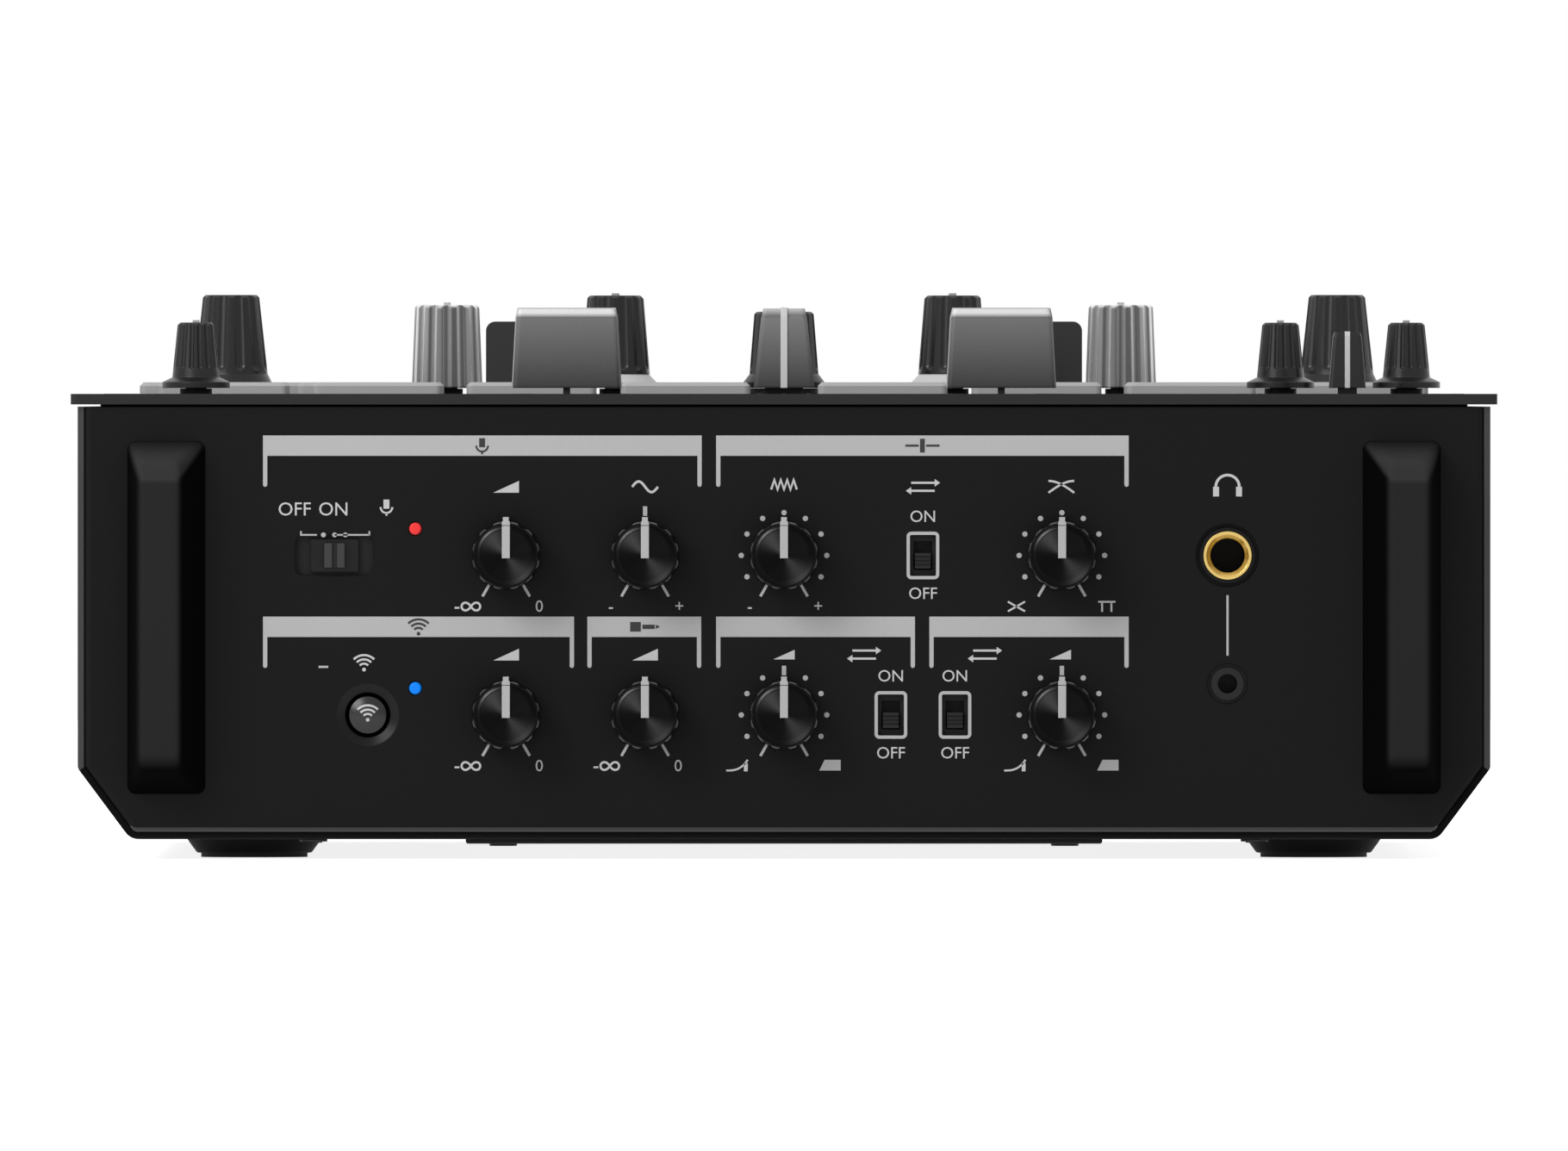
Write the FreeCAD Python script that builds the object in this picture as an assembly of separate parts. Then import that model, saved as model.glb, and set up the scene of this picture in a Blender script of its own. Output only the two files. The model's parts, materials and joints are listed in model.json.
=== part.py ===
import FreeCAD, Part
import math
import os

# A two-channel club mixer for scratching, seen from the front as a wide low box on four feet.
# Frame: +Z up, the front panel faces -Y, +X is to the right. The origin is the middle of the
# footprint, on the surface that the feet stand on. All sizes are in millimetres.

Vector = FreeCAD.Vector

# Case: a folded U of sheet with chamfered lower corners, closed by a panel at each end.
CASE_WIDTH = 264.4
CASE_DEPTH = 387.5
CASE_HEIGHT = 81.0
CHAMFER_WIDTH = 9.9
CHAMFER_HEIGHT = 13.3
SHEET = 1.2
LOWER_BEND_RADIUS = 3.0
UPPER_BEND_RADIUS = 1.5
TIGHTEST_BEND = 0.3
SHELL_SETBACK = 0.6
LEDGE_INSET = 4.2
LEDGE_WIDTH = 3.4
SHADOW_GAP = 0.4
STANDOFF_RADIUS = 3.0
STANDOFF_HEIGHT = 8.0
VENT_COUNT = 9
VENT_PITCH = 7.0
VENT_WIDTH = 2.4
VENT_HEIGHT = 26.0
VENT_FROM_REAR = 60.0
VENT_UP = 42.0

# End panels: shallow trays that sit inside the folded shell.
PANEL_SHEET = 1.5
PANEL_FLANGE = 12.0
PANEL_EDGE_RADIUS = 1.3
PANEL_LEDGE = 6.0

# Top plate, which lies on the raised ledges of the shell and the panels.
PLATE_THICKNESS = 2.0
PLATE_SIDE_OVERHANG = 1.3
PLATE_END_OVERHANG = 0.8
PLATE_CORNER_RADIUS = 1.0

# Feet and the service cover under the case.
FOOT_HEIGHT = 3.6
FOOT_TOP_RADIUS = 12.8
FOOT_LOW_RADIUS = 10.75
FOOT_EDGE_RADIUS = 0.6
FOOT_PAD_RADIUS = 10.0
FOOT_PAD_PROUD = 0.8
FOOT_PAD_SEAT = 0.6
FOOT_FROM_SIDE = 32.7
FOOT_FROM_END = 38.0
COVER_WIDTH = 119.4
COVER_DEPTH = 190.0
COVER_Y = -75.0
COVER_THICKNESS = 1.0
COVER_EDGE_RADIUS = 0.5
COVER_LAP = 14.0

# Front bumpers, one at each end of the front panel.
BUMPER_FROM_SIDE = 16.6
BUMPER_UP = 41.55
BUMPER_BASE_WIDTH = 14.6
BUMPER_BASE_HEIGHT = 66.1
BUMPER_FACE_WIDTH = 7.9
BUMPER_FACE_HEIGHT = 57.7
BUMPER_FACE_OUTWARD = 1.35
BUMPER_FACE_UPWARD = 0.3
BUMPER_PROUD = 12.0
BUMPER_CORNER_RADIUS = 1.6
BUMPER_EDGE_RADIUS = 1.4
BUMPER_SCREW_SPACING = 40.0

# Screws.
SCREW_RADIUS = 1.5
SCREW_HEAD_RADIUS = 2.6
SCREW_HEAD_DEPTH = 1.3
LOW_HEAD_HEIGHT = 0.45
PAN_HEAD_HEIGHT = 1.8
SCREW_LENGTH = 7.0
BOTTOM_SCREW_FROM_SIDE = 44.1
SIDE_SCREW_UP = 28.35
SIDE_SCREW_BELOW_TOP = 16.2
TOP_SCREW_COUNT = 4

# Rotary controls: a potentiometer behind the panel, its shaft and the knob on it.
SHAFT_RADIUS = 2.0
SHAFT_CLEARANCE = 0.05
BUSH_RADIUS = 3.0
BUSH_CLEARANCE = 0.15
POT_WIDTH = 10.0
POT_DEPTH = 6.5
POT_FLOOR = 0.8
SHAFT_END_GAP = 0.4
KNOB_GAP = 0.1
KNOB_ROOF = 2.2
BOARD_THICKNESS = 1.6

# Front panel rows and columns.
COLUMN_PITCH = 26.0
ROW_ONE_UP = 53.15
ROW_TWO_UP = 23.3

# Front knobs: scalloped, with a dished face and a white pointer.
FRONT_KNOB_GAP = 0.6
FRONT_KNOB_BASE_RADIUS = 6.6
FRONT_KNOB_TOP_RADIUS = 6.4
FRONT_KNOB_EDGE = 0.3
FRONT_KNOB_HEIGHT = 10.2
FRONT_KNOB_SCALLOPS = 12
FRONT_KNOB_SCALLOP_RADIUS = 2.0
FRONT_KNOB_SCALLOP_DEPTH = 0.45
FRONT_KNOB_DISH_RADIUS = 5.8
FRONT_KNOB_DISH_DEPTH = 0.8
FRONT_POINTER_WIDTH = 1.5
FRONT_POINTER_TAIL = 0.5
FRONT_POINTER_DEPTH = 1.2
FRONT_FINGER_WIDTH = 1.1
FRONT_FINGER_REACH = 7.2

# Microphone switch: a lever on a sliding block in a wide window.
MIC_SWITCH_X = -84.1
MIC_WINDOW_WIDTH = 14.6
MIC_WINDOW_HEIGHT = 7.5
MIC_WINDOW_RADIUS = 1.5
MIC_BLOCK_WIDTH = 9.1
MIC_BLOCK_HEIGHT = 6.3
MIC_BLOCK_THICKNESS = 0.9
MIC_LEVER_WIDTH = 3.9
MIC_LEVER_HEIGHT = 4.6
MIC_LEVER_PROUD = 1.8
MIC_LEVER_GROOVE = 0.87
MIC_GROOVE_DEPTH = 0.6
MIC_TRAVEL = 2.0

# Reverse switches: ridged caps that slide up in narrow windows.
REVERSE_X = 26.0
REVERSE_PAIR_HALF_SPACING = 6.0
REVERSE_WINDOW_WIDTH = 4.9
REVERSE_WINDOW_HEIGHT = 7.45
REVERSE_CAP_WIDTH = 3.0
REVERSE_CAP_HEIGHT = 2.9
REVERSE_CAP_SUNK = 0.2
REVERSE_RIDGES = 4
REVERSE_RIDGE_DEPTH = 0.35
REVERSE_TRAVEL = 2.0
SWITCH_WALL = 1.6
SWITCH_STEM_DEPTH = 3.0
SLIDE_CLEARANCE = 0.2
SKIM_CLEARANCE = 0.1

# Pairing button in a dished hole.
BUTTON_X = -77.9
BUTTON_RADIUS = 3.45
BUTTON_HOLE_RADIUS = 4.2
BUTTON_DISH_RADIUS = 5.85
BUTTON_DISH_DEPTH = 0.8
BUTTON_DOME = 0.9
BUTTON_COLLAR_RADIUS = 5.0
BUTTON_COLLAR_THICKNESS = 0.9
BUTTON_TRAVEL = 0.8
BUTTON_GUIDE_CLEARANCE = 0.35

# Status lamps.
LED_X = -69.0
LED_RADIUS = 1.15
LED_CLEARANCE = 0.1
LED_PROUD = 0.45
LED_ABOVE_ROW = 5.0

# Headphone sockets.
PHONES_X = 83.0
BIG_JACK_BORE_RADIUS = 3.2
BIG_JACK_RING_RADIUS = 4.5
BIG_JACK_RING_PROUD = 1.0
BIG_JACK_RING_DEPTH = 8.0
BIG_JACK_LEAD_IN = 0.8
BIG_JACK_NOSE_RADIUS = 5.2
BIG_JACK_NOSE_PROUD = 0.6
BIG_JACK_HOLE_RADIUS = 5.83
BIG_JACK_BODY = 16.0
BIG_JACK_BODY_DEPTH = 24.0
SMALL_JACK_UP = 29.15
SMALL_JACK_BORE_RADIUS = 1.8
SMALL_JACK_NOSE_RADIUS = 3.08
SMALL_JACK_HOLE_RADIUS = 3.7
SMALL_JACK_BODY = 9.0
SMALL_JACK_BODY_DEPTH = 14.0
JACK_FLOOR = 1.5

# Small knobs on the top plate.
PLATE_KNOB_LIFT = 1.1
SMALL_KNOB_SKIRT_RADIUS = 6.35
SMALL_KNOB_SKIRT_RIM = 1.1
SMALL_KNOB_SKIRT_TOP = 3.1
SMALL_KNOB_BASE_RADIUS = 4.45
SMALL_KNOB_TOP_RADIUS = 3.45
SMALL_KNOB_TOP = 13.4
SMALL_KNOB_GROOVE_COUNT = 16
SMALL_KNOB_GROOVE_RADIUS = 0.45
SMALL_KNOB_GROOVE_DEPTH = 0.35
SMALL_KNOB_GROOVE_START = 5.1
SMALL_KNOB_LEFT_FROM_SIDE = 21.8
SMALL_KNOB_LEFT_FROM_FRONT = 32.0
SMALL_KNOB_PAIR_FROM_SIDE = 26.85
SMALL_KNOB_PAIR_HALF_SPACING = 11.85
SMALL_KNOB_PAIR_FROM_FRONT = 62.0

# Large knobs on the top plate share one flared skirt.
FLARE_RADIUS = 7.8
FLARE_RIM = 1.1
FLARE_TOP = 3.8
POINTER_WIDTH = 1.3
POINTER_PROUD = 0.45
POINTER_DEPTH = 1.0
POINTER_START = 1.5
POINTER_MARGIN = 0.6
KNOB_EDGE_RADIUS = 0.5
KNOB_FLUTES = 12
KNOB_FLUTE_RADIUS = 1.6
KNOB_FLUTE_DEPTH = 0.4
KNOB_FLUTE_START = 5.6
ENCODER_FROM_SIDE = 26.5
ENCODER_FROM_FRONT = 212.0
ENCODER_BASE_RADIUS = 7.0
ENCODER_TOP_RADIUS = 5.4
ENCODER_TOP = 18.9
EQ_X = 32.3
EQ_FROM_FRONT = 212.0
EQ_PITCH = 32.0
EQ_BASE_RADIUS = 6.5
EQ_TOP_RADIUS = 5.3
EQ_TOP = 18.8
EQ_SHOULDER_RADIUS = 6.3
EFFECT_KNOB_FROM_FRONT = 212.0
EFFECT_KNOB_BASE_RADIUS = 6.6
EFFECT_KNOB_TOP_RADIUS = 5.7
EFFECT_KNOB_TOP = 15.7

# Filter knobs: bright metal with flutes through the rim.
FILTER_X = 64.35
FILTER_FROM_FRONT = 204.0
FILTER_BASE_RADIUS = 6.75
FILTER_TOP_RADIUS = 6.15
FILTER_TOP = 17.0
FILTER_FLUTES = 14
FILTER_FLUTE_RADIUS = 1.1
FILTER_FLUTE_DEPTH = 0.45

# Faders: a cap on a blade that runs in a slotted track under the plate.
FADER_TRAVEL = 45.0
FADER_CAP_LENGTH = 20.3
FADER_CAP_WIDTH = 11.35
FADER_CAP_TOP_LENGTH = 18.9
FADER_CAP_TOP_WIDTH = 8.6
FADER_CAP_BEVEL = 0.8
FADER_CAP_BEVEL_HEIGHT = 1.8
FADER_CAP_TOP = 16.0
FADER_LIFT = 1.1
FADER_LINE_WIDTH = 1.3
FADER_LINE_DEPTH = 0.6
FADER_LINE_PROUD = 0.2
FADER_CAP_CORNER = 0.7
FADER_BLADE_THICKNESS = 1.3
FADER_BLADE_LENGTH = 7.1
FADER_BLADE_DEPTH = 8.0
FADER_BLADE_IN_CAP = 9.0
FADER_SLOT_CLEARANCE = 0.5
TRACK_WIDTH = 11.0
TRACK_DEPTH = 11.0
TRACK_END = 7.0
CROSSFADER_FROM_FRONT = 27.0
CHANNEL_FADER_X = 40.9
CHANNEL_FADER_FROM_FRONT = 80.0
MIX_FROM_SIDE = 26.5
MIX_FROM_FRONT = 27.0
MIX_TRAVEL = 16.0
MIX_CAP_WIDTH = 6.9
MIX_CAP_TOP_WIDTH = 5.4
MIX_CAP_LENGTH = 9.0
MIX_CAP_TOP_LENGTH = 7.6
MIX_CAP_TOP = 11.5
MIX_CAP_BEVEL = 0.6
MIX_CAP_BEVEL_HEIGHT = 0.8
MIX_LINE_WIDTH = 1.0
MIX_BLADE_LENGTH = 3.6

# Effect paddles: blades on trunnions under the plate.
PADDLE_X = 48.7
PADDLE_FROM_FRONT = 267.0
PADDLE_WIDTH = 17.2
PADDLE_THICKNESS = 3.0
PADDLE_TOP = 13.9
PADDLE_CORNER_RADIUS = 1.8
PADDLE_SWING = 18.0
PADDLE_PIVOT_DROP = 4.5
PADDLE_HUB_RADIUS = 3.0
PADDLE_PIN_RADIUS = 1.8
PADDLE_PIN_LENGTH = 3.0
PADDLE_SIDE_GAP = 0.5
PADDLE_SLOT_CLEARANCE = 0.5
PADDLE_TAB_WIDTH = 8.0
PADDLE_TAB_MARGIN = 2.0

# Pads and keys: moulded mats whose keys stand through windows in the plate.
PAD_PITCH = 29.2
PAD_WIDTH = 24.5
PAD_DEPTH = 22.0
PAD_FIRST_X = 18.7
PAD_ROWS = 2
PAD_ROW_PITCH = 26.0
PAD_FROM_FRONT = 130.0
PAD_HEIGHT = 2.2
PAD_BEVEL = 0.7
PAD_CORNER_RADIUS = 1.2
PAD_WINDOW_GAP = 0.4
MAT_SHEET = 2.0
MAT_LAP = 1.2
MAT_RIM = 1.5
MAT_EDGE_GAP = 0.25
MODE_KEY_X = 78.8
MODE_KEY_PITCH = 29.9
MODE_KEY_WIDTH = 28.0
MODE_KEY_DEPTH = 10.0
MODE_KEY_FROM_FRONT = 179.0
EFFECT_KEY_X = 74.0
EFFECT_KEY_PITCH_X = 19.0
EFFECT_KEY_PITCH_Y = 18.0
EFFECT_KEY_ROWS = 3
EFFECT_KEY_WIDTH = 15.0
EFFECT_KEY_DEPTH = 12.0
EFFECT_KEY_FROM_FRONT = 262.0

# Level meter: a smoked strip let into the plate.
METER_WIDTH = 16.0
METER_DEPTH = 84.0
METER_FROM_FRONT = 288.0
METER_SUNK = 0.8
METER_CORNER_RADIUS = 2.0

# Rear panel.
PHONO_FIRST_X = 12.0
PHONO_PITCH_X = 16.0
PHONO_OUTPUT_GAP = 4.0
PHONO_ROWS = 2
PHONO_UP = 26.0
PHONO_PITCH_Z = 18.0
SOCKET_PROUD = 8.5
PHONO_SHELL_RADIUS = 4.2
PHONO_BORE_RADIUS = 1.65
PHONO_FLANGE_RADIUS = 5.6
PHONO_FLANGE_THICKNESS = 1.2
PHONO_BODY = 12.0
PHONO_BODY_DEPTH = 9.0
GROUND_POST_UP = 62.0
GROUND_POST_RADIUS = 4.0
GROUND_POST_NECK_RADIUS = 2.0
GROUND_POST_NECK = 2.0
GROUND_POST_HEAD = 5.0
OUTPUT_FROM_SIDE = 34.2
OUTPUT_HALF_SPACING = 14.0
OUTPUT_UP = 53.0
OUTPUT_FLANGE_WIDTH = 26.0
OUTPUT_FLANGE_HEIGHT = 31.0
OUTPUT_FLANGE_THICKNESS = 1.6
OUTPUT_FLANGE_RADIUS = 3.0
OUTPUT_BORE_RADIUS = 9.3
OUTPUT_BORE_DEPTH = 14.0
OUTPUT_BODY_RADIUS = 11.0
BOOTH_UP = 19.5
BOOTH_NUT_RADIUS = 6.0
BOOTH_NUT_THICKNESS = 2.2
BOOTH_BUSH_RADIUS = 4.6
BOOTH_BUSH_PROUD = 3.0
USB_X = -21.0
USB_HALF_SPACING = 9.5
USB_UP = 34.0
USB_WIDTH = 12.0
USB_HEIGHT = 11.0
USB_OPENING_WIDTH = 8.6
USB_OPENING_HEIGHT = 7.9
USB_DEPTH = 10.0
USB_PROUD = 0.4
INLET_FROM_SIDE = 34.2
INLET_UP = 36.0
INLET_FLANGE_WIDTH = 40.0
INLET_FLANGE_HEIGHT = 27.0
INLET_FLANGE_THICKNESS = 2.0
INLET_FLANGE_RADIUS = 3.0
INLET_BODY_WIDTH = 28.0
INLET_BODY_HEIGHT = 20.0
INLET_OPENING_WIDTH = 24.4
INLET_OPENING_HEIGHT = 16.4
INLET_DEPTH = 17.0
INLET_WALL = 2.0
POWER_FROM_INLET = 40.0
POWER_FRAME_WIDTH = 15.0
POWER_FRAME_HEIGHT = 21.0
POWER_FRAME_THICKNESS = 1.6
POWER_FRAME_WALL = 1.5
POWER_FRAME_DEPTH = 12.0
POWER_SIDE_GAP = 0.4
POWER_PIN_RADIUS = 1.2
POWER_PIN_LENGTH = 1.0
POWER_PIVOT_DEPTH = 3.5
POWER_PROUD = 1.6
POWER_TILT = 7.0
PANEL_FIT = 0.2

# Boards inside the case.
MAIN_BOARD_FROM_SIDE = 14.2
MAIN_BOARD_SUPPLY_GAP = 10.0
MAIN_BOARD_DEPTH = 140.0
MAIN_BOARD_Y = 90.0
SUPPLY_FROM_SIDE = 16.2
SUPPLY_WIDTH = 76.0
SUPPLY_DEPTH = 96.0
SUPPLY_Y = 112.0
BOARD_SCREW_INSET = 6.0
TRANSFORMER_WIDTH = 36.0
TRANSFORMER_DEPTH = 32.0
TRANSFORMER_HEIGHT = 28.0
CAPACITOR_RADIUS = 8.0
CAPACITOR_HEIGHT = 26.0
CAPACITOR_SPACING = 24.0
CHIP_SIZE = 22.0
CHIP_HEIGHT = 2.4
CONTROL_BOARD_SIDE_GAP = 11.2
CONTROL_BOARD_DEPTH = 330.0
CONTROL_BOARD_FROM_FRONT = 14.0
FRONT_BOARD_WIDTH = 166.0
FRONT_BOARD_X = -19.0
FRONT_BOARD_HEIGHT = 62.0
FRONT_BOARD_UP = 40.0
BOARD_CUT_CLEARANCE = 1.0

# Levels and places that follow from the sizes above.
CASE_BOTTOM = FOOT_HEIGHT
CASE_TOP = CASE_BOTTOM + CASE_HEIGHT
PLATE_UNDERSIDE = CASE_TOP + SHADOW_GAP
PLATE_TOP = PLATE_UNDERSIDE + PLATE_THICKNESS
FRONT_Y = -(CASE_DEPTH + BUMPER_PROUD + SOCKET_PROUD) / 2 + BUMPER_PROUD
REAR_Y = FRONT_Y + CASE_DEPTH
FLOOR_TOP = CASE_BOTTOM + SHEET
BOARD_BOTTOM = FLOOR_TOP + STANDOFF_HEIGHT
BOARD_TOP = BOARD_BOTTOM + BOARD_THICKNESS
ROW_ONE_Z = CASE_BOTTOM + ROW_ONE_UP
ROW_TWO_Z = CASE_BOTTOM + ROW_TWO_UP
FRONT_BOARD_Y = FRONT_Y + PANEL_SHEET + POT_DEPTH
CONTROL_BOARD_TOP = PLATE_UNDERSIDE - POT_DEPTH
LEDGE_X = CASE_WIDTH / 2 - LEDGE_INSET
FOOT_X = CASE_WIDTH / 2 - FOOT_FROM_SIDE
BUMPER_X = CASE_WIDTH / 2 - BUMPER_FROM_SIDE
BOTTOM_SCREW_X = CASE_WIDTH / 2 - BOTTOM_SCREW_FROM_SIDE
SMALL_KNOB_LEFT_X = SMALL_KNOB_LEFT_FROM_SIDE - CASE_WIDTH / 2
SMALL_KNOB_PAIR_X = CASE_WIDTH / 2 - SMALL_KNOB_PAIR_FROM_SIDE
ENCODER_X = CASE_WIDTH / 2 - ENCODER_FROM_SIDE
MIX_X = CASE_WIDTH / 2 - MIX_FROM_SIDE
OUTPUT_X = CASE_WIDTH / 2 - OUTPUT_FROM_SIDE
INLET_X = INLET_FROM_SIDE - CASE_WIDTH / 2
POWER_X = INLET_X + POWER_FROM_INLET
SUPPLY_X = SUPPLY_FROM_SIDE + SUPPLY_WIDTH / 2 - CASE_WIDTH / 2
MAIN_BOARD_LEFT = SUPPLY_X + SUPPLY_WIDTH / 2 + MAIN_BOARD_SUPPLY_GAP
MAIN_BOARD_WIDTH = CASE_WIDTH / 2 - MAIN_BOARD_FROM_SIDE - MAIN_BOARD_LEFT
MAIN_BOARD_X = MAIN_BOARD_LEFT + MAIN_BOARD_WIDTH / 2
CONTROL_BOARD_WIDTH = CASE_WIDTH - 2 * CONTROL_BOARD_SIDE_GAP
KEY_REACH = LEDGE_X - LEDGE_WIDTH - MAT_EDGE_GAP - MAT_LAP - PAD_WINDOW_GAP
PHONO_REACH = OUTPUT_X - OUTPUT_HALF_SPACING - OUTPUT_FLANGE_WIDTH / 2 - PHONO_OUTPUT_GAP


def columns_within(reach, first_x, width, pitch):
    """How many pieces of a width stand side by side from the first one out to the reach."""
    return int((reach - first_x - width / 2) / pitch) + 1


PAD_COLUMNS = columns_within(KEY_REACH, PAD_FIRST_X, PAD_WIDTH, PAD_PITCH)
MODE_KEYS = columns_within(KEY_REACH, MODE_KEY_X, MODE_KEY_WIDTH, MODE_KEY_PITCH)
EFFECT_KEY_COLUMNS = columns_within(KEY_REACH, EFFECT_KEY_X, EFFECT_KEY_WIDTH, EFFECT_KEY_PITCH_X)
PHONO_COLUMNS = columns_within(PHONO_REACH, PHONO_FIRST_X, PHONO_BODY, PHONO_PITCH_X)
TOP_SCREW_X = LEDGE_X - LEDGE_WIDTH / 2
PADDLE_PIVOT_Z = PLATE_UNDERSIDE - PADDLE_PIVOT_DROP

# Where each control stands: on the front panel as (x, z), on the top plate as (x, y).
FRONT_KNOBS = {
    "mic_level_knob": (-2 * COLUMN_PITCH, ROW_ONE_Z),
    "mic_tone_knob": (-COLUMN_PITCH, ROW_ONE_Z),
    "crossfader_feel_knob": (0.0, ROW_ONE_Z),
    "crossfader_curve_knob": (2 * COLUMN_PITCH, ROW_ONE_Z),
    "wireless_level_knob": (-2 * COLUMN_PITCH, ROW_TWO_Z),
    "aux_level_knob": (-COLUMN_PITCH, ROW_TWO_Z),
    "channel_one_curve_knob": (0.0, ROW_TWO_Z),
    "channel_two_curve_knob": (2 * COLUMN_PITCH, ROW_TWO_Z),
}
REVERSE_SWITCHES = {
    "crossfader_reverse_switch": (REVERSE_X, ROW_ONE_Z),
    "channel_one_reverse_switch": (REVERSE_X - REVERSE_PAIR_HALF_SPACING, ROW_TWO_Z),
    "channel_two_reverse_switch": (REVERSE_X + REVERSE_PAIR_HALF_SPACING, ROW_TWO_Z),
}
MIC_SWITCH_PLACE = (MIC_SWITCH_X, ROW_ONE_Z)
BUTTON_PLACE = (BUTTON_X, ROW_TWO_Z)
RED_LED_PLACE = (LED_X, ROW_ONE_Z + LED_ABOVE_ROW)
BLUE_LED_PLACE = (LED_X, ROW_TWO_Z + LED_ABOVE_ROW)
BIG_JACK_PLACE = (PHONES_X, ROW_ONE_Z)
SMALL_JACK_PLACE = (PHONES_X, CASE_BOTTOM + SMALL_JACK_UP)
SMALL_KNOBS = {
    "sampler_volume_knob": (SMALL_KNOB_LEFT_X, FRONT_Y + SMALL_KNOB_LEFT_FROM_FRONT),
    "phones_level_knob": (
        SMALL_KNOB_PAIR_X - SMALL_KNOB_PAIR_HALF_SPACING,
        FRONT_Y + SMALL_KNOB_PAIR_FROM_FRONT,
    ),
    "booth_level_knob": (
        SMALL_KNOB_PAIR_X + SMALL_KNOB_PAIR_HALF_SPACING,
        FRONT_Y + SMALL_KNOB_PAIR_FROM_FRONT,
    ),
}
ENCODERS = {
    "left_browse_encoder": (-ENCODER_X, FRONT_Y + ENCODER_FROM_FRONT),
    "right_browse_encoder": (ENCODER_X, FRONT_Y + ENCODER_FROM_FRONT),
}
EQ_BANDS = ("low", "mid", "high")
EQ_KNOBS = {
    f"channel_{channel}_{band}_knob": (side * EQ_X, FRONT_Y + EQ_FROM_FRONT + step * EQ_PITCH)
    for channel, side in (("one", -1), ("two", 1))
    for step, band in enumerate(EQ_BANDS)
}
FILTER_KNOBS = {
    "channel_one_filter_knob": (-FILTER_X, FRONT_Y + FILTER_FROM_FRONT),
    "channel_two_filter_knob": (FILTER_X, FRONT_Y + FILTER_FROM_FRONT),
}
EFFECT_KNOB = {"effect_depth_knob": (0.0, FRONT_Y + EFFECT_KNOB_FROM_FRONT)}
PLATE_KNOB_PLACES = [
    place
    for group in (SMALL_KNOBS, ENCODERS, EQ_KNOBS, FILTER_KNOBS, EFFECT_KNOB)
    for place in group.values()
]
CHANNEL_SLOTS = {
    "channel_one_fader": (-CHANNEL_FADER_X, FRONT_Y + CHANNEL_FADER_FROM_FRONT),
    "channel_two_fader": (CHANNEL_FADER_X, FRONT_Y + CHANNEL_FADER_FROM_FRONT),
}
CHANNEL_FADERS = {name: (x, y - FADER_TRAVEL / 2) for name, (x, y) in CHANNEL_SLOTS.items()}
CROSSFADER_PLACE = (0.0, FRONT_Y + CROSSFADER_FROM_FRONT)
MIX_PLACE = (MIX_X, FRONT_Y + MIX_FROM_FRONT)
PADDLES = {
    "left_effect_paddle": (-PADDLE_X, FRONT_Y + PADDLE_FROM_FRONT),
    "right_effect_paddle": (PADDLE_X, FRONT_Y + PADDLE_FROM_FRONT),
}
PHONO_PLACES = [
    (PHONO_FIRST_X + column * PHONO_PITCH_X, CASE_BOTTOM + PHONO_UP + row * PHONO_PITCH_Z)
    for row in range(PHONO_ROWS)
    for column in range(PHONO_COLUMNS)
]
GROUND_POST_PLACES = [
    (PHONO_FIRST_X + (pair + 0.5) * PHONO_PITCH_X, CASE_BOTTOM + GROUND_POST_UP)
    for pair in range(0, PHONO_COLUMNS - 1, 2)
]
OUTPUT_PLACES = [
    (OUTPUT_X + side * OUTPUT_HALF_SPACING, CASE_BOTTOM + OUTPUT_UP) for side in (-1, 1)
]
BOOTH_PLACES = [
    (OUTPUT_X + side * OUTPUT_HALF_SPACING, CASE_BOTTOM + BOOTH_UP) for side in (-1, 1)
]
USB_PLACES = [(USB_X + side * USB_HALF_SPACING, CASE_BOTTOM + USB_UP) for side in (-1, 1)]
INLET_PLACE = (INLET_X, CASE_BOTTOM + INLET_UP)
POWER_PLACE = (POWER_X, CASE_BOTTOM + INLET_UP)
FOOT_PLACES = [
    (side * FOOT_X, y)
    for side in (-1, 1)
    for y in (FRONT_Y + FOOT_FROM_END, REAR_Y - FOOT_FROM_END)
]


# Plain forms that the pieces are made from.
def block(x_span, y_span, z_span):
    size = [span[1] - span[0] for span in (x_span, y_span, z_span)]
    return Part.makeBox(*size, Vector(x_span[0], y_span[0], z_span[0]))


def centred_block(width, height, z_low, z_high):
    return block((-width / 2, width / 2), (-height / 2, height / 2), (z_low, z_high))


def rod(radius, start, end):
    start = Vector(*start)
    reach = Vector(*end) - start
    return Part.makeCylinder(radius, reach.Length, start, reach)


def upright_rod(radius, z_low, z_high):
    return rod(radius, (0, 0, z_low), (0, 0, z_high))


def turned(outline):
    """A solid of revolution about Z from (radius, z) corners that start and end on the axis."""
    corners = [Vector(radius, 0, z) for radius, z in outline]
    wire = Part.makePolygon(corners + corners[:1])
    return Part.Face(wire).revolve(Vector(0, 0, 0), Vector(0, 0, 1), 360)


def rounded_wire(width, height, radius, z, x=0.0, y=0.0):
    """A rectangle with round corners in a plane of constant z, centred on (x, y)."""
    right = width / 2 - radius
    top = height / 2 - radius
    edges = []
    corners = ((right, top, 0), (-right, top, 90), (-right, -top, 180), (right, -top, 270))
    for index, (corner_x, corner_y, start) in enumerate(corners):
        centre = Vector(x + corner_x, y + corner_y, z)
        circle = Part.Circle(centre, Vector(0, 0, 1), radius)
        edges.append(Part.Arc(circle, math.radians(start), math.radians(start + 90)).toShape())
        next_x, next_y, next_start = corners[(index + 1) % len(corners)]
        turn = math.radians(start + 90)
        away = Vector(radius * math.cos(turn), radius * math.sin(turn), 0)
        edges.append(Part.makeLine(centre + away, Vector(x + next_x, y + next_y, z) + away))
    return Part.Wire(edges)


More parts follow.
